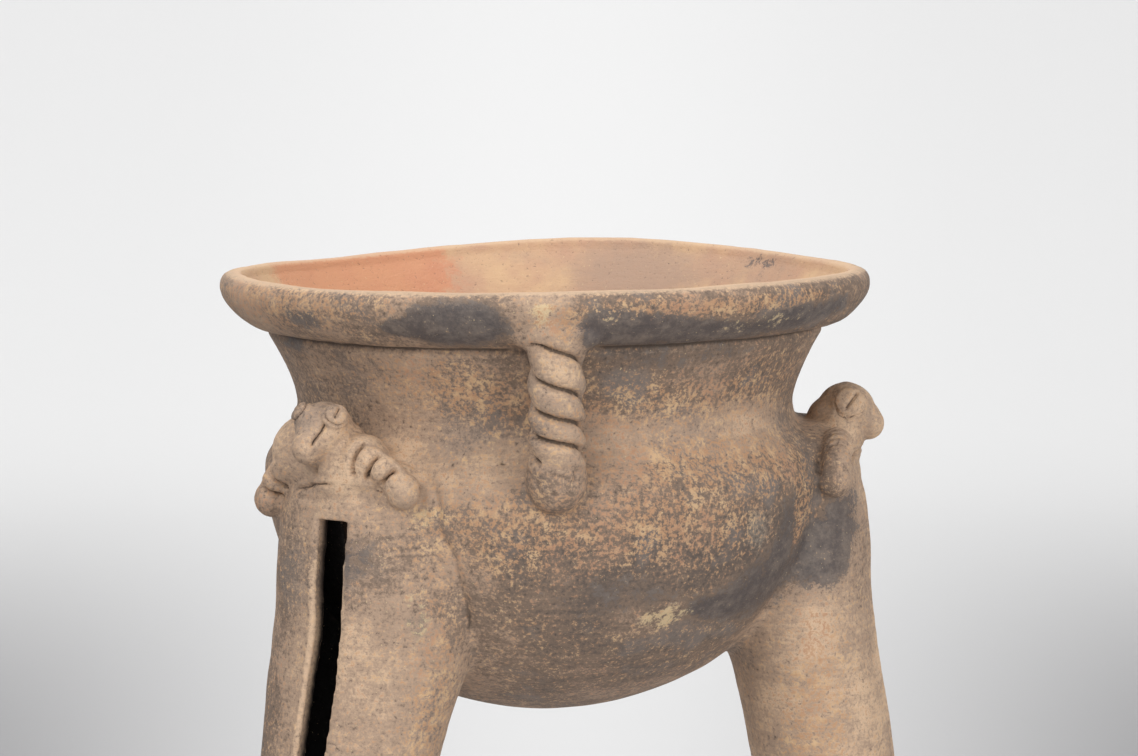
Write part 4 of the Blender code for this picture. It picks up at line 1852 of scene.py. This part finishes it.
    def slips(self, layers: "ClayLayers", grounds: "Grounds", colour: Socket) -> tuple[Socket, Socket]:
        """Black and red slip and pale deposits, each with a torn edge, and the share of the slips.

        Args:
            layers: The helpers that stack layers.
            grounds: The clay's patterns.
            colour: The colour so far.

        Returns:
            The colour with the slips, and the share that they cover.
        """
        soot = layers.torn(Family.SOOT, grounds, 1.7, 1.0)
        dark = layers.blend(layers.ramp(grounds.mottle, 0.40, 0.66), self.soot, self.soot_light)
        colour = layers.blend(soot, colour, dark, 0.86)
        red = layers.torn(Family.RED, grounds, 0.7, 0.1, 0.10)
        colour = layers.blend(red, colour, self.red, 0.62)
        colour = layers.blend(layers.torn(Family.LICHEN, grounds, 0.8, 1.4, 0.22), colour, self.lichen, 0.7)
        colour = layers.blend(layers.torn(Family.CREAM, grounds, 1.6, 1.4, 0.12), colour, self.cream, 0.75)
        return colour, layers.math("MAXIMUM", soot, red)

    def bared_clay(self, layers: "ClayLayers", grounds: "Grounds", colour: Socket, slip: Socket) -> Socket:
        """Ochre grains that show where the dark surface has worn off, thick in some places.

        Args:
            layers: The helpers that stack layers.
            grounds: The clay's patterns.
            colour: The colour so far.
            slip: The share that slip covers.

        Returns:
            The colour with the grains.
        """
        amount = layers.math("MULTIPLY_ADD", layers.family(Family.OCHRE), 0.13, grounds.flecks)
        amount = layers.math("MULTIPLY_ADD", layers.math("SUBTRACT", grounds.mottle, 0.5), 0.30, amount)
        amount = layers.math("MULTIPLY_ADD", slip, -0.10, amount)
        sheltered = layers.math("MAXIMUM", layers.family(Family.INSIDE), layers.family(Family.HOLLOW))
        amount = layers.math("MULTIPLY_ADD", sheltered, -0.3, amount)
        ochre = layers.blend(layers.ramp(grounds.mottle, 0.44, 0.66), self.ochre, self.ochre_light)
        ochre = layers.blend(layers.ramp(grounds.clouds, 0.46, 0.62), ochre, self.rust, 0.6)
        return layers.blend(layers.ramp(amount, 0.55, 0.65), colour, ochre, 0.85)

    def grain_wear_and_painted_light(self, layers: "ClayLayers", grounds: "Grounds", colour: Socket) -> Socket:
        """Dark pits, pale grains of temper, painted shade in creases, and edges lit as wear and painted
        highlight.

        Args:
            layers: The helpers that stack layers.
            grounds: The clay's patterns.
            colour: The colour so far.

        Returns:
            The finished colour.
        """
        colour = layers.blend(layers.ramp(grounds.flecks, 0.40, 0.30), colour, self.pit_and_crease_shade, 0.55)
        pale = layers.noise(self.temper_size, detail=2.0, roughness=0.5)
        colour = layers.blend(layers.ramp(pale, 0.70, 0.76), colour, self.cream, 0.75)
        # Painted shade: creases and hollows are darkened.
        colour = layers.blend(layers.ramp(layers.family(Family.PAINTED_CREASE_SHADE), 0.22, 0.95), colour, self.pit_and_crease_shade, 0.85)
        grains = layers.math("SUBTRACT", grounds.flecks, 0.5)
        # Edges and the lip's top are lightened, partly as wear and partly as a painted highlight.
        worn = layers.math("MULTIPLY_ADD", grains, 1.2, layers.family(Family.WEAR_AND_PAINTED_BRIGHT_EDGES))
        return layers.blend(layers.ramp(worn, 0.30, 0.85), colour, self.clay_light, 0.65)

    def relief(self, layers: "ClayLayers", grounds: "Grounds") -> Socket:
        """Grain and smoothing marks that the mesh is too coarse for.

        Args:
            layers: The helpers that stack layers.
            grounds: The clay's patterns.

        Returns:
            The shading normal.
        """
        height = layers.math("MULTIPLY", grounds.flecks, self.fleck_depth)
        height = layers.math("MULTIPLY_ADD", grounds.streaks, self.streak_depth, height)
        return layers.bump(height)


@dataclass(frozen=True)
class Grounds:
    """The patterns of noise that all layers of the clay share."""

    clouds: Socket
    mottle: Socket
    flecks: Socket
    streaks: Socket


@dataclass
class ClayLayers:
    """Small helpers to stack the layers of one material. Sizes are in millimetres on the clay."""

    tree: bpy.types.NodeTree
    place: Socket

    def noise(
        self, size: float, detail: float = 4.0, roughness: float = 0.6, squash: Point = (1.0, 1.0, 1.0)
    ) -> Socket:
        """Noise whose largest grains have a given size.

        Args:
            size: Size of the grains.
            detail: How many finer layers there are.
            roughness: How strong the finer layers are.
            squash: Makes grains shorter along x, y and z.

        Returns:
            The value from 0 to 1.
        """
        place = self.place
        if squash != (1.0, 1.0, 1.0):
            sockets = {"Vector": place, "Scale": squash}
            place = add_node(self.tree, "ShaderNodeMapping", None, sockets).outputs[0]
        sockets = {"Vector": place, "Scale": 1000.0 / size, "Detail": detail, "Roughness": roughness}
        return add_node(self.tree, "ShaderNodeTexNoise", None, sockets).outputs["Fac"]

    def family(self, family: Family) -> Socket:
        """The share of a family at a point, from the mesh."""
        return add_node(self.tree, "ShaderNodeAttribute", {"attribute_name": family.value}).outputs["Fac"]

    def math(self, operation: str, *values: Socket | float) -> Socket:
        """One arithmetic step on values or outputs."""
        sockets = dict(enumerate(values))
        return add_node(self.tree, "ShaderNodeMath", {"operation": operation}, sockets).outputs[0]

    def ramp(self, value: Socket, low: float, high: float) -> Socket:
        """0 at low and 1 at high, with a soft step between."""
        sockets = {"Value": value, "From Min": low, "From Max": high}
        soft = {"interpolation_type": "SMOOTHSTEP"}
        return add_node(self.tree, "ShaderNodeMapRange", soft, sockets).outputs[0]

    def torn(
        self, family: Family, grounds: Grounds, tears: float, grain: float, softness: float = 0.07
    ) -> Socket:
        """A family's share with a ragged edge.

        Args:
            family: Which family.
            grounds: The clay's patterns.
            tears: How far the coarse tears reach.
            grain: How far the fine tears reach.
            softness: Half the width of the edge.

        Returns:
            The share from 0 to 1.
        """
        share = self.family(family)
        present = self.ramp(share, 0.02, 0.20)
        share = self.math("MULTIPLY_ADD", self.math("SUBTRACT", grounds.mottle, 0.5), tears, share)
        share = self.math("MULTIPLY_ADD", self.math("SUBTRACT", grounds.flecks, 0.5), grain, share)
        return self.math("MULTIPLY", self.ramp(share, 0.48 - softness, 0.48 + softness), present)

    def blend(self, share: Socket, under: Socket | str, over: Socket | str, most: float = 1.0) -> Socket:
        """Lays one colour over another.

        Args:
            share: How much of the upper colour shows.
            under: The lower colour, an output or an sRGB code.
            over: The upper colour, an output or an sRGB code.
            most: The share that 1 stands for.

        Returns:
            The blended colour.
        """
        if most < 1.0:
            share = self.math("MULTIPLY", share, most)
        colours = [linear(c) if isinstance(c, str) else c for c in (under, over)]
        sockets = {0: share, 6: colours[0], 7: colours[1]}
        return add_node(self.tree, "ShaderNodeMix", {"data_type": "RGBA"}, sockets).outputs[2]

    def between(self, share: Socket, low: float, high: float) -> Socket:
        """A value between low and high."""
        return self.math("MULTIPLY_ADD", share, high - low, low)

    def bump(self, height: Socket) -> Socket:
        """The shading normal of a height in millimetres."""
        sockets = {"Height": height, "Strength": 1.0, "Distance": 0.001}
        return add_node(self.tree, "ShaderNodeBump", None, sockets).outputs[0]


@dataclass(frozen=True)
class Lamp:
    """A soft rectangular light."""

    name: str
    place: Point
    size: tuple[float, float]
    power: float
    colour: str = "#ffffff"


@dataclass(frozen=True)
class Studio:
    """The pale floor and backdrop, the soft lights and the photograph's camera."""

    camera_side: float = 0.00744
    camera_distance: float = 0.930
    camera_rise: float = 0.083
    camera_pitch: float = 7.24
    focal_pixels: float = 3000.0
    sensor: float = 36.0
    sweep_front: float = -2.5
    sweep_back: float = 2.2
    sweep_radius: float = 0.9
    sweep_height: float = 3.0
    sweep_half_width: float = 3.0
    paper: str = "#eeeeee"
    paper_shade: str = "#828183"
    shade_near: float = 0.30
    shade_far: float = 1.60
    shade_front: tuple[float, float] = (-1.6, -0.7)
    shade_side: float = 0.42
    shade_middle: float = 0.28
    shade_all_over: float = 0.08
    fibre_size: float = 2.0
    fibre_depth: float = 0.02
    fibre_tone: float = 0.02
    ambient: float = 0.62
    lamps: tuple[Lamp, ...] = (
        Lamp("key", (-1.10, -2.00, 1.80), (1.2, 1.2), 30.0),
        Lamp("top", (-0.30, 0.10, 2.40), (1.4, 1.2), 24.0),
        Lamp("fill", (1.25, -1.30, 0.50), (0.8, 0.8), 12.5),
    )

    def add_camera(self, axis: float, rim_top: float) -> None:
        """Places the camera of the photograph.

        Args:
            axis: The x of the vessel's axis.
            rim_top: Mean height of the rim.
        """
        data = bpy.data.cameras.new("camera")
        data.sensor_width = self.sensor
        data.lens = self.focal_pixels / PHOTO_WIDTH * self.sensor
        camera = bpy.data.objects.new("camera", data)
        camera.location = (axis + self.camera_side, -self.camera_distance, rim_top + self.camera_rise)
        camera.rotation_euler = (math.radians(90 - self.camera_pitch), 0.0, 0.0)
        bpy.context.scene.collection.objects.link(camera)
        bpy.context.scene.camera = camera

    def paper_finish(self) -> bpy.types.Material:
        """Matt photographic paper, greyer in the near corners of the floor where less light falls.

        Returns:
            The material.
        """
        # Uncoated paper off a roll: it gives an even pale ground with no gleam and hardly any grain.
        material = bpy.data.materials.new("matt_paper_rolled_smooth")
        material.use_nodes = True
        tree = material.node_tree
        shader = tree.nodes["Principled BSDF"]
        layers = ClayLayers(tree, add_node(tree, "ShaderNodeTexCoord").outputs["Object"])
        place = add_node(tree, "ShaderNodeSeparateXYZ", None, {0: layers.place}).outputs
        near = layers.ramp(place[1], self.shade_far, self.shade_near)
        near = layers.math("MULTIPLY", near, layers.ramp(place[1], *self.shade_front))
        side = layers.ramp(layers.math("ABSOLUTE", place[0]), 0.0, self.shade_side)
        shade = layers.math("MULTIPLY", near, layers.between(side, self.shade_middle, 1.0))
        shade = layers.math("MULTIPLY_ADD", side, self.shade_all_over, shade)
        fibres = layers.noise(self.fibre_size, detail=2.0)
        shade = layers.math("MULTIPLY_ADD", layers.math("SUBTRACT", fibres, 0.5), self.fibre_tone, shade)
        tree.links.new(layers.blend(shade, self.paper, self.paper_shade), shader.inputs["Base Color"])
        tree.links.new(layers.between(fibres, 0.86, 0.94), shader.inputs["Roughness"])
        fibre_relief = layers.bump(layers.math("MULTIPLY", fibres, self.fibre_depth))
        tree.links.new(fibre_relief, shader.inputs["Normal"])
        return material

    def add_sweep(self) -> bpy.types.Object:
        """The floor, which curves up into the backdrop.

        Returns:
            The new object.
        """
        turns = np.linspace(0.0, math.pi / 2, 25)
        radius = self.sweep_radius
        foot = self.sweep_back - radius
        bend = [(foot + radius * math.sin(t), radius * (1 - math.cos(t))) for t in turns]
        profile = [(self.sweep_front, 0.0), *bend, (self.sweep_back, self.sweep_height)]
        bm = bmesh.new()
        rail = [bm.verts.new((-self.sweep_half_width, y, z)) for y, z in profile]
        edges = [bm.edges.new(pair) for pair in zip(rail, rail[1:])]
        grown = bmesh.ops.extrude_edge_only(bm, edges=edges)["geom"]
        moved = [g for g in grown if isinstance(g, bmesh.types.BMVert)]
        bmesh.ops.translate(bm, verts=moved, vec=(2 * self.sweep_half_width, 0.0, 0.0))
        sweep = new_object("sweep", bm)
        sweep.data.materials.append(self.paper_finish())
        sweep.data.shade_smooth()
        sweep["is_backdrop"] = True
        return sweep

    def add_lights(self, target: Vector) -> None:
        """The even light of a white room and the soft boxes, which look at the vessel.

        Args:
            target: The point that the soft boxes look at.
        """
        world = bpy.data.worlds.new("white_room")
        world.use_nodes = True
        world.node_tree.nodes["Background"].inputs["Color"].default_value = linear("#ffffff")
        world.node_tree.nodes["Background"].inputs["Strength"].default_value = self.ambient
        bpy.context.scene.world = world
        for lamp in self.lamps:
            data = bpy.data.lights.new(lamp.name, "AREA")
            data.shape = "RECTANGLE"
            data.size, data.size_y = lamp.size
            data.energy = lamp.power
            data.color = linear(lamp.colour)[:3]
            light = bpy.data.objects.new(lamp.name, data)
            light.location = lamp.place
            light.rotation_euler = (target - light.location).to_track_quat("-Z", "Y").to_euler()
            bpy.context.scene.collection.objects.link(light)


def main() -> None:
    """Builds the vessel's skin, its finish and the studio, and reports each piece."""
    logging.basicConfig(level=logging.INFO, format="%(message)s")
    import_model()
    solid_box = [list(corner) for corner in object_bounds()]
    bowl = BowlForm()
    axis = solid_box[0][0] + bowl.rim_radius
    leg = LegForm()
    skin = ClaySkin(bowl, leg, LegFigure(), (TwistedHandle(2.5), TwistedHandle(182.5)))
    vessel = skin.build()
    ClayMap(vessel, bowl).store(leg)
    skin.thin_out(vessel)
    vessel.data.transform(Matrix.Translation((axis, 0.0, 0.0)))
    vessel.data.shade_smooth()
    vessel.data.materials.clear()
    vessel.data.materials.append(FiredClay().build())
    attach(vessel, "root")
    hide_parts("vessel")
    vessel.data.calc_loop_triangles()
    LOG.info("vessel_clay: %d triangles", len(vessel.data.loop_triangles))
    studio = Studio()
    studio.add_sweep()
    studio.add_camera(axis, bowl.rim_top)
    studio.add_lights(Vector((axis, 0.0, 0.25)))
    bpy.context.scene.view_settings.view_transform = "Standard"


if __name__ == "__main__":
    main()
